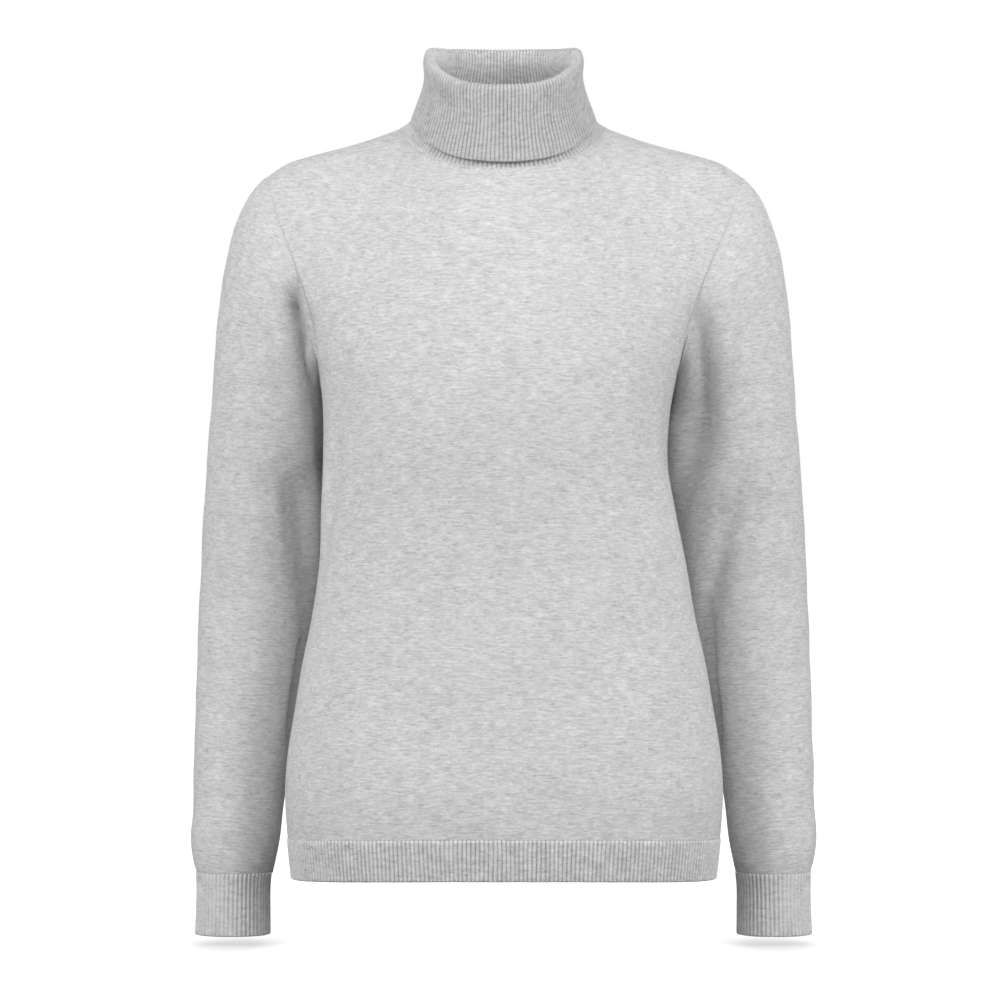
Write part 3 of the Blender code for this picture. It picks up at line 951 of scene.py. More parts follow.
@dataclass
class Panel:
    """The front or the back, in plain knit."""

    face: Face
    form: BodyForm
    columns: int = 240
    lower_rows: int = 160
    upper_rows: int = 96
    top_fade_rows: int = 12
    side_fade_power: int = 12
    ripple_squash: float = 0.6
    seam: SeamFinish = field(default_factory=SeamFinish)

    @property
    def node(self) -> str:
        """The node that the piece stands for."""
        return self.face.value

    def across_positions(self) -> Array:
        """Across-positions of the columns, closer together at both side edges."""
        half = self.columns // 2
        ends = shares(half + 1, SIDE_EDGE)
        return np.concatenate([-ends[::-1], ends[1:]])

    def build(self) -> bpy.types.Object:
        """Makes the panel's wall."""
        across = self.across_positions()
        lower = 1 - shares(self.lower_rows + 1, RIB_EDGE)[::-1]
        upper = shares(self.upper_rows + 1, SEAM_EDGE)
        grid = self.form.panel(self.face, across, lower[:-1], upper)
        normals = grid_normals(grid, False) * -self.face.facing
        along = run_length(grid, 1)
        up = run_length(grid, 0)
        from_side = np.minimum(along, along[:, -1:] - along)
        from_top = up[-1:] - up

        worn, fine = PANEL_RIPPLES[self.face]
        uneven = worn.at(along, up * self.ripple_squash) + fine.at(along, up)
        lift = self.creased(across, grid[..., 2])
        lift = lift + uneven * looseness(np.minimum(from_side, from_top), up)

        maps = {
            "cloth": self.flat_places(grid, across, along),
            "seam": self.seam_places(across, along, up, from_side, from_top),
            "rib": self.rib_places(across, along, up, from_top),
        }
        base = swayed(grid + normals * lift[..., None])
        name = f"{self.node}_knit"
        return jersey_wall(name, base, normals, self.seam, maps, closed=False).build()

    def creased(self, across: Array, z: Array) -> Array:
        """How far the creases lift the cloth, which lies flat at the side seams and on top.

        Args:
            across: Across-positions of the columns.
            z: Heights of the points.

        Returns:
            The lift of each point.
        """
        spread = np.broadcast_to(across, z.shape)
        lift = sum(crease.lift(spread, z, PANEL_UNIT) for crease in PANEL_CREASES[self.face])
        lift = lift * (1 - np.abs(across) ** self.side_fade_power)
        rows = len(z)
        top_fade = smooth(np.arange(rows), rows - self.top_fade_rows, rows - 1)
        return lift * (1 - top_fade[:, None])

    @staticmethod
    def flat_places(grid: Array, across: Array, along: Array) -> Array:
        """Flat places: along the course from the centre, and up the wale from the rib.

        Args:
            grid: The panel's points.
            across: Across-positions of the columns.
            along: Lengths along the rows.

        Returns:
            The map. Towards the armholes, which lean outwards, the wale is taken upright.
        """
        beside_armhole = smooth(np.abs(across), *ARMHOLE_BAND)
        depth_share = 1 - ARMHOLE_DEPTH_LOSS * beside_armhole
        upright = grid * stack(0, depth_share, 1)
        from_centre = along - along[:, along.shape[1] // 2, None]
        return np.stack([from_centre, run_length(upright, 0)], axis=-1)

    def seam_places(
        self, across: Array, along: Array, up: Array, from_side: Array, from_top: Array
    ) -> Array:
        """Distance to the nearest of the side, armhole and shoulder seams, and the way along it.

        Args:
            across: Across-positions of the columns.
            along: Lengths along the rows.
            up: Lengths up the columns.
            from_side: Distances to the nearer side edge.
            from_top: Distances to the top edge, where the neckline has no seam to show.

        Returns:
            The map.
        """
        at_neckline = smooth(SHOULDER_START - np.abs(across), *NECK_END)
        from_top = from_top + SEAM_AWAY * at_neckline
        side_nearer = from_side < from_top
        distance = np.where(side_nearer, from_side, from_top)
        return np.stack([distance, np.where(side_nearer, up, along)], axis=-1)

    def rib_places(self, across: Array, along: Array, up: Array, from_top: Array) -> Array:
        """Places across the collar's or the hem's ribs, which fade into the plain knit.

        Args:
            across: Across-positions of the columns.
            along: Lengths along the rows.
            up: Lengths up the columns from the hem rib.
            from_top: Distances to the top edge.

        Returns:
            The map. The neck's ribs end slowly, and the hem's end at once.
        """
        beside_neck = NECK_END_RATE * (np.abs(across) - SHOULDER_START).clip(0)
        down_collar = NECK_FLANGE - from_top - beside_neck
        neck_away = (NECK_FADE_AT - down_collar) * NECK_FADE_RATE
        at_neck = from_top < up
        collar_rib = (1 + across) / 2 * COLLAR_RIBS
        hem_rib = along[0] / along[0, -1] * HEM_RIBS
        place = np.where(at_neck, collar_rib, hem_rib) * RIB_PITCH
        return np.stack([place, np.where(at_neck, neck_away, up)], axis=-1)


@dataclass
class Sleeve:
    """A sleeve in plain knit, from the armhole to the cuff."""

    side: Side
    form: ArmForm
    columns: int = 144
    cap_rows: int = 88
    arm_rows: int = 164
    top_fade_rows: int = 5
    ripple_squash: float = 0.8
    arm_lean: float = 3.0
    cap_lean: float = 20.0
    cap_lean_heights: tuple = (-230, -80)
    seam: SeamFinish = field(default_factory=lambda: SeamFinish(ridge=0.45))

    @property
    def node(self) -> str:
        """The node that the piece stands for."""
        return f"sleeve_{self.side.name.lower()}"

    def build(self) -> bpy.types.Object:
        """Makes the sleeve's wall, its columns from the underarm seam round to it again."""
        angle = np.linspace(-np.pi, np.pi, self.columns + 1)
        cap = 1 - shares(self.cap_rows + 1, SEAM_EDGE)[::-1]
        arm = np.linspace(self.form.cap_end_z, self.form.sleeve_end_z, self.arm_rows + 1)[1:]
        grid = self.form.surface(self.side, angle, cap, arm)
        normals = grid_normals(grid, True) * self.side.value
        along = run_length(grid, 1)
        down = run_length(grid, 0)
        up = down[-1:] - down
        z = grid[..., 2]
        degrees = np.broadcast_to(np.degrees(angle % (2 * np.pi)), z.shape)

        creases = SLEEVE_CREASES[self.side]
        lift = sum(crease.lift(degrees, z, SLEEVE_UNIT) for crease in creases)
        lift = lift * smooth(np.arange(len(grid)), 0, self.top_fade_rows)[:, None]
        seam = self.seam_places(along, down)
        uneven = SLEEVE_RIPPLES[self.side].at(degrees * SLEEVE_UNIT * self.ripple_squash, z)
        lift = lift + uneven * looseness(seam[..., 0], up)

        place = np.broadcast_to((angle / np.pi + 1) / 2 * CUFF_RIBS * RIB_PITCH, down.shape)
        maps = {
            "cloth": self.flat_places(grid, along),
            "seam": seam,
            "rib": np.stack([place, up], axis=-1),
        }
        base = grid + normals * lift[..., None]
        name = f"{self.node}_knit"
        return jersey_wall(name, base, normals, self.seam, maps, closed=True).build()

    def flat_places(self, grid: Array, along: Array) -> Array:
        """Flat places: round the arm from its outer edge, and along the leaning arm."""
        z = grid[..., 2]
        lean = np.radians(self.arm_lean + self.cap_lean * smooth(z, *self.cap_lean_heights))
        centre_x = read_table(ARM_LEVELS, z.clip(ARM_LEVELS[-1].z, ARM_LEVELS[0].z))[0]
        outward = self.side.value * grid[..., 0] - centre_x
        round_arm = along - along[:, self.columns // 2, None]
        return np.stack([round_arm, z - np.tan(lean) * outward], axis=-1)

    def seam_places(self, along: Array, down: Array) -> Array:
        """Distance to the armhole or underarm seam, whichever is nearer, and the way along it."""
        from_under = np.minimum(along, along[:, -1:] - along)
        under_nearer = from_under < down
        distance = np.where(under_nearer, from_under, down)
        return np.stack([distance, np.where(under_nearer, down, along)], axis=-1)


# ---------------------------------------------------------------------------------------------
# Rib knit
# ---------------------------------------------------------------------------------------------


@dataclass(frozen=True)
class RibShape:
    """The cross-section of one-by-one rib: round crests with narrow grooves between them."""

    points_per_rib: int = 6
    depth: float = 1.3
    crest_share: float = 0.68
    roundness: float = 0.7
    unevenness: float = 0.10
    cloth: float = 1.5

    def wave(self, phase: Array) -> Array:
        """The height over the cloth's middle: the cosine's size, to a power that rounds it."""
        height = np.abs(np.cos(np.pi * phase)) ** self.roundness
        return self.depth * (height - 1 + self.crest_share)


def rib_unevenness(seed: int, ribs: int, columns: int) -> Array:
    """A height factor for each column that changes from rib to rib, and closes round a ring."""
    random = np.random.default_rng(seed)
    each = random.normal(0, 1, ribs)
    at = np.linspace(0, ribs, columns)
    return np.interp(at, np.arange(ribs + 1), np.append(each, each[0]))


@dataclass
class RibBand:
    """A band of rib whose wall is rounded over at its free edge.

    Its ribs rise from start_height at the seam to their full height, over start_run. Over
    settle_run they start to wander, and the inner face moves out from the share lining of its
    distance to the whole. On a closed band the wander fades within seam_ribs of the join.
    """

    name: str
    ribs: int
    rows: int
    closed: bool
    seed: int
    shape: RibShape = field(default_factory=RibShape)
    edge_points: int = 4
    start_height: float = 0.3
    start_run: float = 2.0
    settle_run: float = 10.0
    seam_ribs: float = 4.0
    wander_length: float = 46.0
    wander_ribs: float = 0.10
    wander_squash: float = 0.5
    lining: float = 1.0
    fade_at: float = 0.0
    fade_rate: float = 1.0

    @property
    def columns(self) -> int:
        """Columns of the band's grid."""
        return self.ribs * self.shape.points_per_rib + 1

    def build(self, middle: Array, normals: Array) -> bpy.types.Object:
        """Makes the band round its middle surface.

        Args:
            middle: Points at the middle of the cloth, from the seam to the free edge.
            normals: Directions out of the cloth at those points.

        Returns:
            The piece.
        """
        along = run_length(middle, 1)
        down = run_length(middle, 0)
        place = self.rib_places(along, down)
        outside, inside = self.standing(place, down)
        outer_rows = middle + normals * outside[..., None]
        inner_rows = middle - normals * inside[..., None]
        centre = (outer_rows[-1] + inner_rows[-1]) / 2
        reach = (outer_rows[-1] - inner_rows[-1]) / 2
        onward = unit(middle[-1] - middle[-2]) * np.linalg.norm(reach, axis=-1, keepdims=True)
        turn = np.linspace(0, np.pi, self.edge_points + 2)[1:-1]
        edge = np.array([centre + np.cos(t) * reach + np.sin(t) * onward for t in turn])
        loop = np.concatenate([outer_rows, edge, inner_rows[::-1]])
        return self.close(loop, self.flat_maps(along, down, place))

    def rib_places(self, along: Array, down: Array) -> Array:
        """Places across the ribs, counted in ribs, which wander a little down the band."""
        phase = np.linspace(0, self.ribs, self.columns)
        ripple = Ripple(self.seed, self.wander_length, self.wander_ribs)
        wander = ripple.at(along, down * self.wander_squash) * smooth(down, 0, self.settle_run)
        if self.closed:
            from_join = np.minimum(phase, self.ribs - phase)
            wander = wander * smooth(from_join, 0, self.seam_ribs)
        return phase + wander

    def standing(self, place: Array, down: Array) -> tuple[Array, Array]:
        """How far the two faces stand off the cloth's middle.

        Args:
            place: Places across the ribs, counted in ribs.
            down: Lengths down the columns.

        Returns:
            The outer face's distances and the inner face's, whose crests are half a rib aside.
        """
        started = smooth(down, 0, self.start_run)
        height = 1 + self.shape.unevenness * rib_unevenness(self.seed, self.ribs, self.columns)
        height = height * (self.start_height + (1 - self.start_height) * started)
        half = self.shape.cloth / 2
        outside = half + self.shape.wave(place) * height
        inside = half + self.shape.wave(place + 0.5) * height
        inside *= self.lining + (1 - self.lining) * smooth(down, 0, self.settle_run)
        return outside, inside

    def flat_maps(self, along: Array, down: Array, place: Array) -> dict[str, Array]:
        """The maps of the grid that runs down the outer face and up the inner one.

        Args:
            along: Lengths along the rows.
            down: Lengths down the columns.
            place: Places across the ribs, counted in ribs.

        Returns:
            The flat places by map name. The edge's rows repeat the last row of the nearer face.
        """
        flat = {
            "cloth": np.stack([along, -down], axis=-1),
            "seam": np.stack([down + SEAM_AWAY, along], axis=-1),
            "rib": np.stack([place * RIB_PITCH, (self.fade_at - down) * self.fade_rate], axis=-1),
        }
        half_rib = {"cloth": 0.0, "seam": 0.0, "rib": RIB_PITCH / 2}
        maps = {}
        for title, places in flat.items():
            lining = places + (half_rib[title], 0)
            first = np.repeat(places[-1:], self.edge_points // 2, axis=0)
            second = np.repeat(lining[-1:], self.edge_points - len(first), axis=0)
            maps[title] = np.concatenate([places, first, second, lining[::-1]])
        return maps

    def close(self, loop: Array, maps: dict[str, Array]) -> bpy.types.Object:
        """Makes the mesh from the grid that runs down the outer face and up the inner one.

        Args:
            loop: Points of that grid.
            maps: Their flat places, by map name.

        Returns:
            The piece.
        """
        rows, columns = loop.shape[:2]
        quads, triangles = [], []
        for closed in (self.closed, False):
            index = grid_numbers(rows, columns, closed)
            quads.append(grid_quads(index, False))
            ends = [rim_triangles(index[0], index[-1], False)]
            if not self.closed:
                pair = np.arange(rows // 2 - 1)
                for column, flipped in ((0, True), (-1, False)):
                    line = index[:, column]
                    corners = (line[pair], line[pair + 1], line[rows - 2 - pair])
                    first = np.stack(corners, axis=-1)
                    corners = (line[pair], line[rows - 2 - pair], line[rows - 1 - pair])
                    second = np.stack(corners, axis=-1)
                    cap = np.concatenate([first, second])
                    ends.append(cap if flipped else cap[:, ::-1])
            triangles.append(np.concatenate(ends))
        kept = loop[:, :-1] if self.closed else loop
        maps = {title: flat.reshape(-1, 2) for title, flat in maps.items()}
        return make_mesh(self.name, kept.reshape(-1, 3), quads, triangles, maps)


@dataclass
class HemRib:
    """One half of the rib band at the hem."""

    face: Face
    form: BodyForm
    rows: int = 16
    seed: int = 41

    @property
    def node(self) -> str:
        """The node that the piece stands for."""
        return f"hem_rib_{self.face.value}"

    def build(self) -> bpy.types.Object:
        """Makes the half band below its panel."""
        band = RibBand(f"{self.node}_knit", HEM_RIBS, self.rows, False, self.seed)
        across = self.form.even_across(self.face, band.columns)
        top = self.form.hem_height(self.face, across, self.form.rib_top_z)
        bottom = self.form.hem_height(self.face, across, self.form.hem_z)
        share = np.linspace(0, 1, self.rows)[:, None]
        middle = swayed(self.form.section(self.face, across, top + (bottom - top) * share))
        normals = grid_normals(middle, False) * self.face.facing
        return band.build(middle - normals * band.shape.cloth / 2, normals)


@dataclass
class Cuff:
    """The rib cuff at the end of a sleeve."""

    side: Side
    form: ArmForm
    rows: int = 24
    overlap: float = 1.0
    seed: int = 47

    @property
    def node(self) -> str:
        """The node that the piece stands for."""
        return f"cuff_{self.side.name.lower()}"

    def build(self) -> bpy.types.Object:
        """Makes the cuff below its sleeve."""
        seed = self.seed + self.side.value
        band = RibBand(f"{self.node}_knit", CUFF_RIBS, self.rows, True, seed)
        angle = np.linspace(-np.pi, np.pi, band.columns)
        start_z = self.form.sleeve_end_z + self.overlap
        z = np.linspace(start_z, self.form.cuff_end_z, self.rows)[:, None]
        middle = self.form.section(self.side, angle, z)
        normals = grid_normals(middle, True) * self.side.value
        return band.build(middle - normals * band.shape.cloth / 2, normals)


@dataclass
class Collar:
    """The turned-down rib collar: it rises from the neckline, folds over and turns down."""

    node: str = "collar"
    flange: CollarRing = CollarRing(89.4, 72.6, 69.4, (-39.1, -34.0, -15.7, 2.7, 1.1, -0.2))
    stand: tuple = (
        CollarRing(74.5, 65, 63, (-22, -18, -3, 12, 15, 14)),
        CollarRing(67.5, 60, 60, (6, 9, 21, 38, 43, 43)),
        CollarRing(61.0, 56.4, 56.4, (31.8, 35.0, 47.5, 65.7, 71.2, 72.5)),
    )
    turndown: tuple = (
        CollarRing(66.9, 63, 63, (9, 13, 27, 46, 51, 51)),
        CollarRing(78.4, 73.5, 76, (-30, -25, -9.5, 9.5, 12, 11)),
    )
    fold_radius: float = 2.8
    fold_steps: int = 4
    fold_crowding: float = 4.0
    fold_spread: float = 8.0
    rows: int = 58
    seed: int = 53
    rib_depth: float = 1.15
    flange_sink: float = 1.58
    rise_start: float = 0.5
    rise_end: float = 15.0

    def build(self) -> bpy.types.Object:
        """Makes the collar, whose outer grid face lies outside the stand and under the turndown.

        Its ribs rise out of the plain knit on a flange that lies in the panels' surface.
        """
        band = RibBand(
            f"{self.node}_knit", COLLAR_RIBS, self.rows, True, self.seed,
            RibShape(depth=self.rib_depth), start_height=1.0, lining=0.2,
            fade_at=NECK_FADE_AT, fade_rate=NECK_FADE_RATE,
        )
        angle = np.linspace(-np.pi, np.pi, band.columns)
        rings = [on_shoulders(ring, angle) for ring in (self.flange, NECKLINE)]
        rings += [ring_points(ring, angle) for ring in self.stand]
        outward = stack(np.sin(angle), -np.cos(angle), 0)
        upward = np.array([0, 0, 1])
        top = rings[-1]
        for step in range(1, self.fold_steps + 1):
            turn = np.pi * step / self.fold_steps
            over = (1 - np.cos(turn)) * outward + np.sin(turn) * upward
            rings.append(top + self.fold_radius * over)
        rings += [ring_points(ring, angle) for ring in self.turndown]
        middle = self.between(np.array(rings))
        normals = grid_normals(middle, True)
        down = run_length(middle, 0)
        sink = self.flange_sink * (1 - smooth(down, self.rise_start, self.rise_end))
        return band.build(middle - normals * sink[..., None], normals)

    def between(self, rings: Array) -> Array:
        """Rows of points on a smooth curve through the rings, closer together at the fold."""
        steps = np.linalg.norm(np.diff(rings, axis=0), axis=-1).mean(axis=1)
        length = np.concatenate([[0], np.cumsum(steps)])
        fold_at = length[len(self.stand) + 1] + self.fold_radius * np.pi / 2
        even = np.linspace(0, length[-1], self.rows * 4)
        density = 1 + self.fold_crowding * bell(even - fold_at, self.fold_spread)
        passed = np.cumsum(density)
        passed = (passed - passed[0]) / (passed[-1] - passed[0])
        places = np.interp(np.linspace(0, 1, self.rows), passed, even)
        table = np.column_stack([length, rings.reshape(len(rings), -1)])
        return np.moveaxis(read_table(table, places), 0, -1).reshape(self.rows, -1, 3)


# ---------------------------------------------------------------------------------------------
# Finishes
# ---------------------------------------------------------------------------------------------


class Nodes:
    """A short way to add and wire nodes in a tree."""

    def __init__(self, tree: bpy.types.NodeTree) -> None:
        """Keeps the tree."""
        self.tree = tree

    def add(self, kind: str, **settings: object) -> bpy.types.Node:
        """Adds a node. Settings whose names start with in_ go to the socket of that number.

        Args:
            kind: The node's type name.
            settings: Properties, and in_N values or sockets.

        Returns:
            The node.
        """
        node = self.tree.nodes.new(kind)
        for key, value in settings.items():
            if not key.startswith("in_"):
                setattr(node, key, value)
        for key, value in settings.items():
            if key.startswith("in_"):
                self.feed(value, node.inputs[int(key[3:])])
        return node

    def feed(self, value: object, socket: Socket) -> None:
        """Links a socket's value, or sets it."""
        if isinstance(value, Socket):
            self.tree.links.new(value, socket)
        else:
            socket.default_value = value

    def math(self, operation: str, *values: object) -> Socket:
        """A Math node's result."""
        inputs = {f"in_{number}": value for number, value in enumerate(values)}
        return self.add("ShaderNodeMath", operation=operation, **inputs).outputs[0]

    def remap(self, value: object, span: tuple, start: float, end: float) -> Socket:
        """A value carried from one range to another, and held inside it.

        Args:
            value: The value or its socket.
            span: Both ends of the value's own range.
            start: The result at the first of them, and beyond it.
            end: The result at the other, and beyond it.

        Returns:
            The result's socket.
        """
        node = self.add(
            "ShaderNodeMapRange", in_0=value, in_1=span[0], in_2=span[1], in_3=start, in_4=end
        )
        return node.outputs[0]

    def noise(self, vector: Socket, scale: tuple, detail: float, roughness: float) -> Socket:
        """Noise stretched by a scale for each axis, whose zero lines lie off the cloth.

        Args:
            vector: The flat place.
            scale: Spots to the metre along the course and along the wale.
            detail: How many finer layers are added.
            roughness: How much each finer layer counts.

        Returns:
            The noise, from 0 to 1.
        """
        x, y = scale
        shift = (x * NOISE_SHIFT[0] + NOISE_START[0], y * NOISE_SHIFT[1] + NOISE_START[1], 0)
        mapped = self.add("ShaderNodeMapping", in_0=vector, in_1=shift, in_3=(x, y, 1)).outputs[0]
        node = self.add(
            "ShaderNodeTexNoise", noise_dimensions="2D", in_0=mapped,
            in_2=1.0, in_3=detail, in_4=roughness,
        )
        return node.outputs[0]


class GroupDraft:
    """A shader node group under way, which works from a flat place.

    Attributes:
        tree: The group.
        nodes: Its node helper.
        given: Its input sockets by name.
        x: The place's first value.
        y: The place's second value.
    """

    def __init__(self, name: str, inputs: dict, outputs: Sequence[str]) -> None:
        """Starts the group. Its first input is Place.

        Args:
            name: The group's name.
            inputs: Starting values by name: a number, or a colour as a tuple.
            outputs: Names of the outputs. Color is a colour and the others are numbers.
        """
        self.tree = bpy.data.node_groups.new(name, "ShaderNodeTree")
        self.nodes = Nodes(self.tree)
        self.socket("Place", "INPUT", "Vector")
        for title, value in inputs.items():
            kind = "Color" if isinstance(value, tuple) else "Float"
            self.socket(title, "INPUT", kind).default_value = value
        for title in outputs:
            self.socket(title, "OUTPUT", "Color" if title == "Color" else "Float")
        entry = self.nodes.add("NodeGroupInput")
        self.leave = self.nodes.add("NodeGroupOutput")
        self.given = {title: entry.outputs[title] for title in ("Place", *inputs)}
        parts = self.nodes.add("ShaderNodeSeparateXYZ", in_0=self.given["Place"])
        self.x, self.y = parts.outputs[0], parts.outputs[1]

    def socket(self, title: str, way: str, kind: str) -> bpy.types.NodeTreeInterfaceSocket:
        """Adds an input or an output of a kind: Vector, Float or Color."""
        sockets = self.tree.interface
        return sockets.new_socket(title, in_out=way, socket_type=f"NodeSocket{kind}")

    def finish(self, results: dict[str, Socket]) -> bpy.types.NodeTree:
        """Wires the results to the outputs by name, and hands over the group."""
        for title, result in results.items():
            self.nodes.feed(result, self.leave.inputs[title])
        return self.tree


class YarnLayer(NamedTuple):
    """One scale of the melange: its spots to the metre along the course and along the wale."""

    scale: tuple
    detail: float
    share: float


YARN_LAYERS = (
    YarnLayer((90, 520), 2.0, 0.30),
    YarnLayer((220, 840), 2.0, 0.26),
    YarnLayer((480, 800), 2.0, 0.14),
    YarnLayer((90, 130), 2.0, 0.16),
    YarnLayer((32, 62), 3.0, 0.10),
    YarnLayer((11, 16), 2.0, 0.04),
)


@dataclass(frozen=True)
class MelangeYarn:
    """Colour of melange yarn: short light and dark streaks along the courses.

    The layers' sum over mix_span goes from dark to light. Dark flecks come on over fleck_span,
    up to fleck_depth, and thin out over cluster_span to the share sparse, so they lie in groups.
    """

    name: str = "melange_yarn"
    layer_roughness: float = 0.6
    mix_span: tuple = (0.36, 0.62)
    fleck_scale: tuple = (115, 700)
    fleck_span: tuple = (0.57, 0.66)
    fleck_depth: float = 0.55
    cluster_scale: tuple = (52, 130)
    cluster_span: tuple = (0.40, 0.62)
    sparse: float = 0.1

    def group(self) -> bpy.types.NodeTree:
        """The node group: scales of stretched noise mix two colours of fibre."""
        inputs = {
            "Stretch": 1.0,
            "Light": (0.7, 0.7, 0.7, 1),
            "Dark": (0.3, 0.3, 0.3, 1),
            "Contrast": 1.0,
        }
        draft = GroupDraft(self.name, inputs, ("Color", "Mask"))
        nodes, given = draft.nodes, draft.given
        height = nodes.math("MULTIPLY", draft.y, given["Stretch"])
        place = nodes.add("ShaderNodeCombineXYZ", in_0=draft.x, in_1=height).outputs[0]
        mixed = 0.0
        for layer in YARN_LAYERS:
            noise = nodes.noise(place, layer.scale, layer.detail, self.layer_roughness)
            mixed = nodes.math("MULTIPLY_ADD", noise, layer.share, mixed)
        spots = nodes.noise(place, self.fleck_scale, 3.0, 0.7)
        fleck = nodes.remap(spots, self.fleck_span, 0.0, self.fleck_depth)
        clouds = nodes.noise(place, self.cluster_scale, 2.0, 0.5)
        cluster = nodes.remap(clouds, self.cluster_span, 1.0, self.sparse)
        clustered = nodes.math("MULTIPLY", fleck, cluster)
        streaks = nodes.remap(mixed, self.mix_span, 0.0, 1.0)
        mask = nodes.math("SUBTRACT", streaks, clustered)
        centred = nodes.math("SUBTRACT", mask, 0.5)
        share = nodes.math("MULTIPLY_ADD", centred, given["Contrast"], 0.5)
        mix = nodes.add(
            "ShaderNodeMix", data_type="RGBA", clamp_factor=True,
            in_0=share, in_6=given["Dark"], in_7=given["Light"],
        )
        return draft.finish({"Color": mix.outputs[2], "Mask": share})


@dataclass(frozen=True)
class KnitStitch:
    """Relief of plain knit: two slanting legs to each stitch, which stack up in wales.

    A leg's middle lies leg_at of a wale from the wale's own, and the legs slant by so many
    courses to a wale. Where a course starts, a leg is down to the share pinched.
    """

    name: str = "knit_stitch"
    leg_at: float = 0.25
    slant: float = 1.5
    pinched: float = 0.5

    def group(self) -> bpy.types.NodeTree:
        """The node group: a round ridge along each leg, pinched where the next course starts."""
        draft = GroupDraft(self.name, {"Wale": 0.0018, "Course": 0.00125}, ("Height",))
        nodes = draft.nodes
        wale = nodes.math("DIVIDE", draft.x, draft.given["Wale"])
        inside = nodes.math("SUBTRACT", nodes.math("FRACT", wale), 0.5)
        reach = nodes.math("ABSOLUTE", inside)
        offset = nodes.math("DIVIDE", nodes.math("SUBTRACT", reach, self.leg_at), self.leg_at)
        leg = nodes.math("SUBTRACT", 1.0, nodes.math("MULTIPLY", offset, offset))
        course = nodes.math("DIVIDE", draft.y, draft.given["Course"])
        slanted = nodes.math("MULTIPLY_ADD", reach, -self.slant, course)
        turn = nodes.math("MULTIPLY", nodes.math("FRACT", slanted), 2.0)
        cycle = nodes.math("SUBTRACT", turn, 1.0)
        pinch = nodes.math("SUBTRACT", 1.0, nodes.math("MULTIPLY", cycle, cycle))
        plump = nodes.math("MULTIPLY_ADD", pinch, 1 - self.pinched, self.pinched)
        height = nodes.math("MULTIPLY", nodes.math("MAXIMUM", leg, 0.0), plump)
        return draft.finish({"Height": height})


@dataclass(frozen=True)
class RibGroove:
    """Painted shade and relief of ribs: grooves painted dark between light crests, which end
    raggedly.

    The ribs fade out over fade_span, in metres past their end line. A groove lightens over
    groove_span of the wave's height.
    """

    name: str = "rib_groove"
    ragged_scale: tuple = (250, 25)
    fade_span: tuple = (-0.0004, 0.0016)
    groove_span: tuple = (0.15, 0.80)

    def group(self) -> bpy.types.NodeTree:
        """The node group: the cosine's size across the ribs, faded out past a ragged end line."""
        inputs = {"Pitch": RIB_PITCH * METRES, "Ragged": 0.0016}
        draft = GroupDraft(self.name, inputs, ("Groove", "Height"))
        nodes, given = draft.nodes, draft.given
        phase = nodes.math("DIVIDE", draft.x, given["Pitch"])
        wave = nodes.math("ABSOLUTE", nodes.math("COSINE", nodes.math("MULTIPLY", phase, np.pi)))
        noise = nodes.noise(given["Place"], self.ragged_scale, 1.0, 0.5)
        uneven = nodes.math("SUBTRACT", noise, 0.5)
        place = nodes.math("MULTIPLY_ADD", uneven, given["Ragged"], draft.y)
        fade = nodes.remap(place, self.fade_span, 1.0, 0.0)
        # painted shade: each groove is darkened, fading out towards the crests
        groove = nodes.remap(wave, self.groove_span, 1.0, 0.0)
        shade = nodes.math("MULTIPLY", groove, fade)
        return draft.finish({"Groove": shade, "Height": nodes.math("MULTIPLY", wave, fade)})


@dataclass(frozen=True)
class SeamStitch:
    """Relief and shade beside a linked seam: fashioning marks in a row, and the linking line.

    A mark fades over mark_span, in metres from its row, and over step_span, as a share of the
    pitch from its own middle. The line fades over line_span, in metres from the seam.
    """

    name: str = "seam_stitch"
    mark_span: tuple = (0.0004, 0.0013)
    step_span: tuple = (0.12, 0.3)
    line_span: tuple = (0.0003, 0.0011)

    def group(self) -> bpy.types.NodeTree:
        """The node group: a soft dot for each fashioning mark, and a thin dark line at the seam."""
        inputs = {"Mark Offset": 0.0072, "Mark Pitch": 0.0075}
        draft = GroupDraft(self.name, inputs, ("Mark", "Line"))
        nodes, given = draft.nodes, draft.given
        away = nodes.math("SUBTRACT", draft.x, given["Mark Offset"])
        across = nodes.remap(nodes.math("ABSOLUTE", away), self.mark_span, 1.0, 0.0)
        step = nodes.math("FRACT", nodes.math("DIVIDE", draft.y, given["Mark Pitch"]))
        from_middle = nodes.math("ABSOLUTE", nodes.math("SUBTRACT", step, 0.5))
        along = nodes.remap(from_middle, self.step_span, 1.0, 0.0)
        mark = nodes.math("MULTIPLY", across, along)
        line = nodes.remap(draft.x, self.line_span, 1.0, 0.0)
        return draft.finish({"Mark": mark, "Line": line})


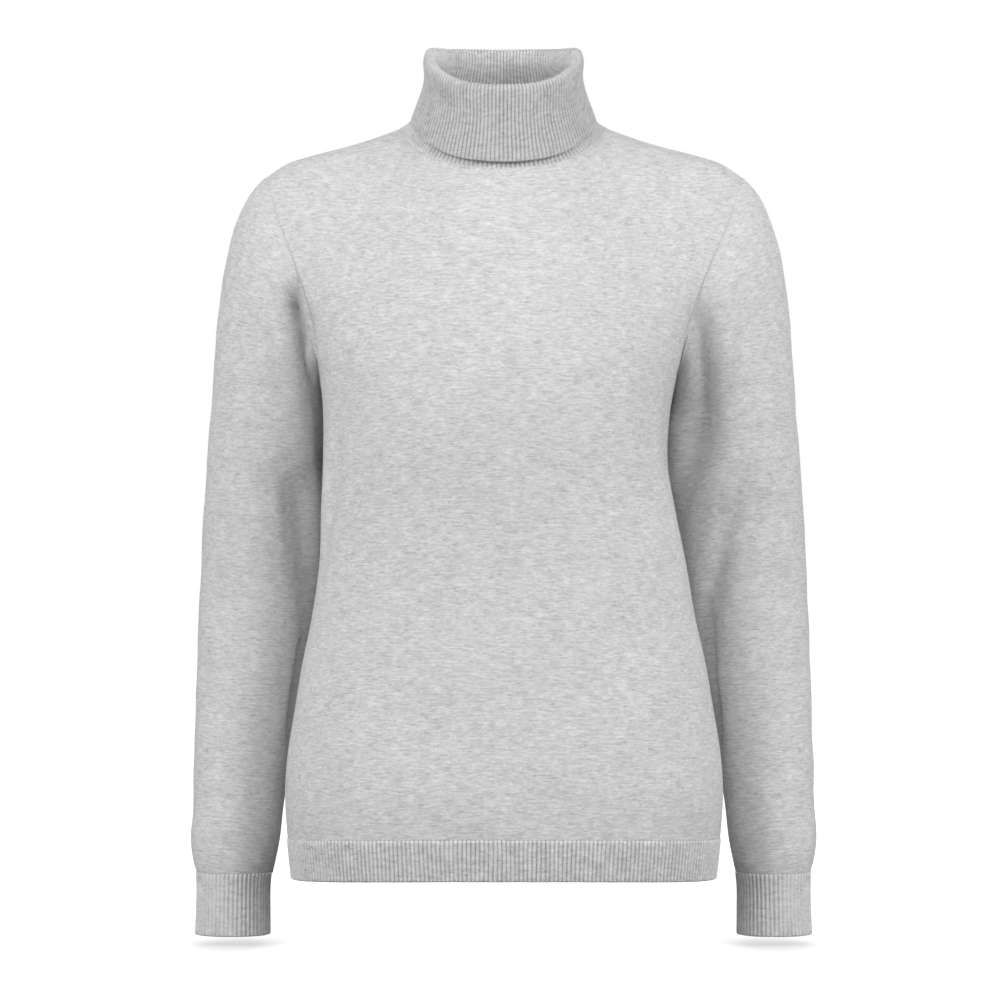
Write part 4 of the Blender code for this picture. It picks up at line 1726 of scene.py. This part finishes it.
@dataclass(frozen=True)
class KnitFinish:
    """A knit's material: melange colour, matt soft yarn, stitches and seam marks in relief.

    The shades say how much darker a seam's line and its marks are, and groove_shade how much
    painted shade darkens the ribs' grooves. The reliefs say how far yarn, marks and ribs stand
    out against a stitch. A band that turns over at fold_at, in metres along its cloth, takes
    painted light on its stand over stand_span, from the seam, and painted shade on its
    turndown over fold_span, from the fold.
    """

    name: str
    light: tuple = (0.67, 0.67, 0.665, 1)
    dark: tuple = (0.37, 0.375, 0.38, 1)
    contrast: float = 0.80
    stretch: float = 1.0
    wale: float = 0.0018
    course: float = 0.00125
    stitch_depth: float = 0.00035
    bump_strength: float = 0.6
    roughness: float = 0.92
    shine: float = 0.25
    sheen: float = 0.25
    sheen_roughness: float = 0.5
    seam_shade: float = 0.03
    mark_shade: float = 0.05
    groove_shade: float = 0.30
    yarn_relief: float = 0.5
    mark_relief: float = 0.8
    rib_relief: float = 0.8
    fold_at: float = 0.0
    # painted light on the stand, seen inside the neck, and painted shade on the turndown
    stand_painted_light: float = 0.0
    turndown_painted_shade: float = 0.0
    stand_span: tuple = (0.03, 0.045)
    fold_span: tuple = (-0.003, 0.006)

    def material(self, groups: dict) -> bpy.types.Material:
        """Builds the material from the shared groups.

        Args:
            groups: The node groups by name.

        Returns:
            The material.
        """
        material = bpy.data.materials.new(self.name)
        material.use_nodes = True
        tree = material.node_tree
        shader = tree.nodes["Principled BSDF"]
        nodes = Nodes(tree)
        cloth = nodes.add("ShaderNodeUVMap", uv_map="cloth").outputs[0]
        seam = nodes.add("ShaderNodeUVMap", uv_map="seam").outputs[0]
        yarn = self.use(nodes, groups["melange_yarn"], cloth, {
            "Light": self.light, "Dark": self.dark, "Contrast": self.contrast,
            "Stretch": self.stretch,
        })
        stitch = self.use(nodes, groups["knit_stitch"], cloth, {
            "Wale": self.wale, "Course": self.course,
        })
        seams = self.use(nodes, groups["seam_stitch"], seam, {})
        rib_place = nodes.add("ShaderNodeUVMap", uv_map="rib").outputs[0]
        ribs = self.use(nodes, groups["rib_groove"], rib_place, {})
        # painted shade in the ribs' grooves; the seam's line and marks are the cloth's own darker
        # marks
        shade = self.summed(nodes, 1.0, (
            (seams.outputs["Line"], -self.seam_shade),
            (seams.outputs["Mark"], -self.mark_shade),
            (ribs.outputs["Groove"], -self.groove_shade),
        ))
        # painted light on the collar's stand and painted shade on its turndown
        if self.fold_at:
            shade = nodes.math("MULTIPLY", shade, self.painted_fold_light_and_shade(nodes, cloth))
        grey = nodes.add("ShaderNodeCombineColor", in_0=shade, in_1=shade, in_2=shade).outputs[0]
        colour = nodes.add(
            "ShaderNodeMix", data_type="RGBA", blend_type="MULTIPLY",
            in_0=1.0, in_6=yarn.outputs["Color"], in_7=grey,
        )
        nodes.feed(colour.outputs[2], shader.inputs["Base Color"])
        relief = self.summed(nodes, stitch.outputs["Height"], (
            (yarn.outputs["Mask"], self.yarn_relief),
            (seams.outputs["Mark"], self.mark_relief),
            (ribs.outputs["Height"], self.rib_relief),
        ))
        bump = nodes.add("ShaderNodeBump")
        bump.inputs["Strength"].default_value = self.bump_strength
        bump.inputs["Distance"].default_value = self.stitch_depth
        nodes.feed(relief, bump.inputs["Height"])
        nodes.feed(bump.outputs[0], shader.inputs["Normal"])
        shader.inputs["Roughness"].default_value = self.roughness
        shader.inputs["Specular IOR Level"].default_value = self.shine
        shader.inputs["Sheen Weight"].default_value = self.sheen
        shader.inputs["Sheen Roughness"].default_value = self.sheen_roughness
        return material

    @staticmethod
    def summed(nodes: Nodes, start: object, terms: Sequence[tuple]) -> Socket:
        """A starting value or socket, plus each term's socket times its weight."""
        total = start
        for socket, weight in terms:
            total = nodes.math("MULTIPLY_ADD", socket, weight, total)
        return total

    def painted_fold_light_and_shade(self, nodes: Nodes, cloth: Socket) -> Socket:
        """Painted tone of a turned-down band: plain at its base, painted light on the stand,
        painted shade on the turndown.
        """
        up = nodes.add("ShaderNodeSeparateXYZ", in_0=cloth).outputs[1]
        down = nodes.math("MULTIPLY", up, -1.0)
        stand = nodes.remap(down, self.stand_span, 1.0, self.stand_painted_light)
        fold = tuple(self.fold_at + away for away in self.fold_span)
        turned = nodes.remap(down, fold, 1.0, self.turndown_painted_shade / self.stand_painted_light)
        return nodes.math("MULTIPLY", stand, turned)

    @staticmethod
    def use(
        nodes: Nodes, group: bpy.types.NodeTree, place: Socket, values: dict
    ) -> bpy.types.Node:
        """Puts a group into the material.

        Args:
            nodes: The material's node helper.
            group: The group.
            place: The flat place that it works from.
            values: Values of its other inputs by name, where they aren't the group's own.

        Returns:
            The group's node.
        """
        node = nodes.add("ShaderNodeGroup", node_tree=group)
        nodes.feed(place, node.inputs["Place"])
        for title, value in values.items():
            node.inputs[title].default_value = value
        return node


# ---------------------------------------------------------------------------------------------
# Studio
# ---------------------------------------------------------------------------------------------


class Lamp(NamedTuple):
    """A rectangular soft light: where it stands, what it points at, its size and its watts."""

    name: str
    place: tuple
    aim: tuple
    size: tuple
    power: float


LAMPS = (
    Lamp("key_light", (0.1, -2.4, 1.6), (0, 0, -0.2), (2.4, 1.2), 26),
    Lamp("front_light", (0.0, -2.4, 0.1), (0, 0, -0.3), (1.4, 1.4), 7),
    Lamp("side_light_left", (2.1, -1.75, 0.5), (0, 0, -0.3), (1.2, 2.0), 47),
    Lamp("side_light_right", (-2.1, -1.75, 0.5), (0, 0, -0.3), (1.2, 2.0), 46),
    Lamp("edge_light_left", (2.3, -0.5, 0.1), (0, 0, -0.3), (1.0, 2.0), 14),
    Lamp("edge_light_right", (-2.3, -0.5, 0.1), (0, 0, -0.3), (1.0, 2.0), 14),
    Lamp("back_light", (0.0, 2.6, 0.6), (0, 0, -0.3), (2.4, 1.6), 62),
)


class PaintedShadow(NamedTuple):
    """A painted shadow: a soft patch of the floor that glows less: its middle, its reach, and how
    much less.
    """

    x: float
    y: float
    reach_x: float
    reach_y: float
    depth: float


# Painted shadows on the floor, one under each cuff.
PAINTED_SHADOWS = tuple(PaintedShadow(side.value * 0.235, 0.02, 0.070, 0.12, 0.30) for side in Side)


@dataclass(frozen=True)
class Studio:
    """Camera, lights, floor and white surroundings.

    The floor has one grey for the eye and another, floor_bounce, for the light that it throws
    back. A painted shadow is at its full depth out to painted_shadow_core of its reach. Ambient is
    how strongly the surroundings light the sweater.
    """

    picture_width: float = 0.8669
    distance: float = 4.0
    centre: tuple = (0.0004, -0.3199)
    sensor: float = 36.0
    clip_end: float = 200.0
    floor_z: float = -0.7005
    floor_reach: float = 40.0
    floor_grey: float = 0.25
    floor_bounce: float = 0.12
    floor_glow: float = 0.96
    painted_shadow_core: float = 0.35
    ambient: float = 0.30

    def camera(self) -> None:
        """A level camera in front, at the middle of the picture."""
        data = bpy.data.cameras.new("camera")
        data.sensor_width = self.sensor
        data.lens = self.sensor * self.distance / self.picture_width
        data.clip_end = self.clip_end
        camera = bpy.data.objects.new("camera", data)
        camera.location = (self.centre[0], -self.distance, self.centre[1])
        camera.rotation_euler = (np.pi / 2, 0, 0)
        bpy.context.scene.collection.objects.link(camera)
        bpy.context.scene.camera = camera

    def floor(self) -> None:
        """A level white floor."""
        reach = np.array([-self.floor_reach, 0.0, self.floor_reach])
        grid = stack(reach[None], reach[:, None], self.floor_z)
        quads = grid_quads(grid_numbers(3, 3, False), False)
        mesh = bpy.data.meshes.new("floor")
        mesh.from_pydata(grid.reshape(-1, 3).tolist(), [], quads.tolist())
        floor = bpy.data.objects.new("floor", mesh)
        bpy.context.scene.collection.objects.link(floor)
        mesh.materials.append(self.paper())

    def paper(self) -> bpy.types.Material:
        """White paper that glows for the eye alone, so it looks white, and is clear from below."""
        material = bpy.data.materials.new("white_paper")
        material.use_nodes = True
        shader = material.node_tree.nodes["Principled BSDF"]
        shader.inputs["Roughness"].default_value = 1.0
        shader.inputs["Specular IOR Level"].default_value = 0.0
        shader.inputs["Emission Color"].default_value = (1, 1, 1, 1)
        nodes = Nodes(material.node_tree)
        seen = nodes.add("ShaderNodeLightPath").outputs["Is Camera Ray"]
        grey = nodes.remap(seen, (0.0, 1.0), self.floor_bounce, self.floor_grey)
        colour = nodes.add("ShaderNodeCombineColor", in_0=grey, in_1=grey, in_2=grey).outputs[0]
        nodes.feed(colour, shader.inputs["Base Color"])
        # painted shadows: the floor's glow is less under the cuffs
        glow = nodes.math("MULTIPLY", seen, self.glow_with_painted_shadows(nodes))
        nodes.feed(glow, shader.inputs["Emission Strength"])
        below = nodes.add("ShaderNodeNewGeometry").outputs["Backfacing"]
        clear = nodes.add("ShaderNodeBsdfTransparent").outputs[0]
        mix = nodes.add("ShaderNodeMixShader", in_0=below, in_1=shader.outputs[0], in_2=clear)
        output = material.node_tree.nodes["Material Output"]
        nodes.feed(mix.outputs[0], output.inputs["Surface"])
        return material

    def glow_with_painted_shadows(self, nodes: Nodes) -> Socket:
        """The floor's glow, which is less where a painted shadow lies."""
        place = nodes.add("ShaderNodeTexCoord").outputs["Object"]
        level = self.floor_glow
        for shade in PAINTED_SHADOWS:
            scale = (1 / shade.reach_x, 1 / shade.reach_y, 0)
            shift = (-shade.x / shade.reach_x, -shade.y / shade.reach_y, 0)
            around = nodes.add("ShaderNodeMapping", in_0=place, in_1=shift, in_3=scale).outputs[0]
            away = nodes.add("ShaderNodeVectorMath", operation="LENGTH", in_0=around)
            span = (self.painted_shadow_core, 1.0)
            less = nodes.remap(away.outputs["Value"], span, shade.depth, 0.0)
            level = nodes.math("SUBTRACT", level, less)
        return level

    @staticmethod
    def light(lamp: Lamp) -> None:
        """Sets up a soft light, which the camera doesn't see."""
        data = bpy.data.lights.new(lamp.name, "AREA")
        data.shape = "RECTANGLE"
        data.size, data.size_y = lamp.size
        data.energy = lamp.power
        light = bpy.data.objects.new(lamp.name, data)
        light.location = lamp.place
        direction = np.array(lamp.aim) - np.array(lamp.place)
        yaw = np.arctan2(direction[0], -direction[1])
        pitch = np.arctan2(np.hypot(direction[0], direction[1]), -direction[2])
        light.rotation_euler = (pitch, 0, yaw + np.pi)
        light.visible_camera = False
        bpy.context.scene.collection.objects.link(light)

    def world(self) -> None:
        """Even light from all round, seen as plain white."""
        world = bpy.data.worlds.new("white_room")
        world.use_nodes = True
        background = world.node_tree.nodes["Background"]
        background.inputs[0].default_value = (1, 1, 1, 1)
        nodes = Nodes(world.node_tree)
        seen = nodes.add("ShaderNodeLightPath").outputs["Is Camera Ray"]
        nodes.feed(nodes.remap(seen, (0.0, 1.0), self.ambient, 1.0), background.inputs[1])
        bpy.context.scene.world = world

    def build(self) -> None:
        """Sets up the studio."""
        self.camera()
        self.floor()
        self.world()
        for lamp in LAMPS:
            self.light(lamp)
        bpy.context.scene.view_settings.view_transform = "Standard"


# ---------------------------------------------------------------------------------------------
# The sweater
# ---------------------------------------------------------------------------------------------


class Cut(NamedTuple):
    """How a piece was cut and is held: its flat width and length in metres, and its area."""

    width: float
    length: float
    hold: Hold
    area: float


@dataclass
class Sweater:
    """The whole sweater: its nine pieces and their finishes."""

    body: BodyForm = field(default_factory=BodyForm)
    arm: ArmForm = field(default_factory=ArmForm)

    def finishes(self) -> dict[str, bpy.types.Material]:
        """The knit materials by name, from shared node groups."""
        makers = (MelangeYarn(), KnitStitch(), RibGroove(), SeamStitch())
        groups = {maker.name: maker.group() for maker in makers}
        rib = KnitFinish("rib_knit", contrast=0.65, stretch=0.5, rib_relief=0.0)
        finishes = (
            KnitFinish("jersey_knit"),
            # painted light: the hem's copy is a lighter grey than the same yarn elsewhere
            replace(rib, name="hem_rib_knit", light=(0.74, 0.74, 0.735, 1)),
            # the cuffs' copy has less painted shade in its grooves
            replace(rib, name="cuff_rib_knit", groove_shade=0.12),
            # the collar's copy: painted light on its stand and painted shade on its turndown
            replace(
                rib, name="collar_rib_knit", groove_shade=0.32,
                fold_at=COLLAR_FOLD_AT, stand_painted_light=1.14, turndown_painted_shade=0.85,
            ),
        )
        return {finish.name: finish.material(groups) for finish in finishes}

    def build(self) -> None:
        """Builds and dresses every piece, and ties it to the frame."""
        materials = self.finishes()
        parts = [(Panel(face, self.body), Slot.JERSEY, "jersey_knit") for face in Face]
        parts += [(Sleeve(side, self.arm), Slot.JERSEY, "jersey_knit") for side in Side]
        parts += [(Collar(), Slot.RIB, "collar_rib_knit")]
        parts += [(HemRib(face, self.body), Slot.RIB, "hem_rib_knit") for face in Face]
        parts += [(Cuff(side, self.arm), Slot.RIB, "cuff_rib_knit") for side in Side]
        for part, slot, finish in parts:
            piece = part.build()
            piece.data.materials.append(materials[finish])
            self.declare(piece, part.node)

    def declare(self, piece: bpy.types.Object, node: str) -> None:
        """Ties a piece to the frame's body, and hides the frame's part for its node.

        Args:
            piece: The finished piece.
            node: The node that it stands for.
        """
        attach(piece, BODY)
        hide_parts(node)
        LOG.info("%s: %d faces", piece.name, len(piece.data.polygons))


def main() -> None:
    """Builds the sweater round its frame, and the studio."""
    logging.basicConfig(level=logging.INFO, format="%(name)s: %(message)s")
    for thing in list(bpy.data.objects):
        bpy.data.objects.remove(thing, do_unlink=True)
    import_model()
    Sweater().build()
    Studio().build()


if __name__ == "__main__":
    main()
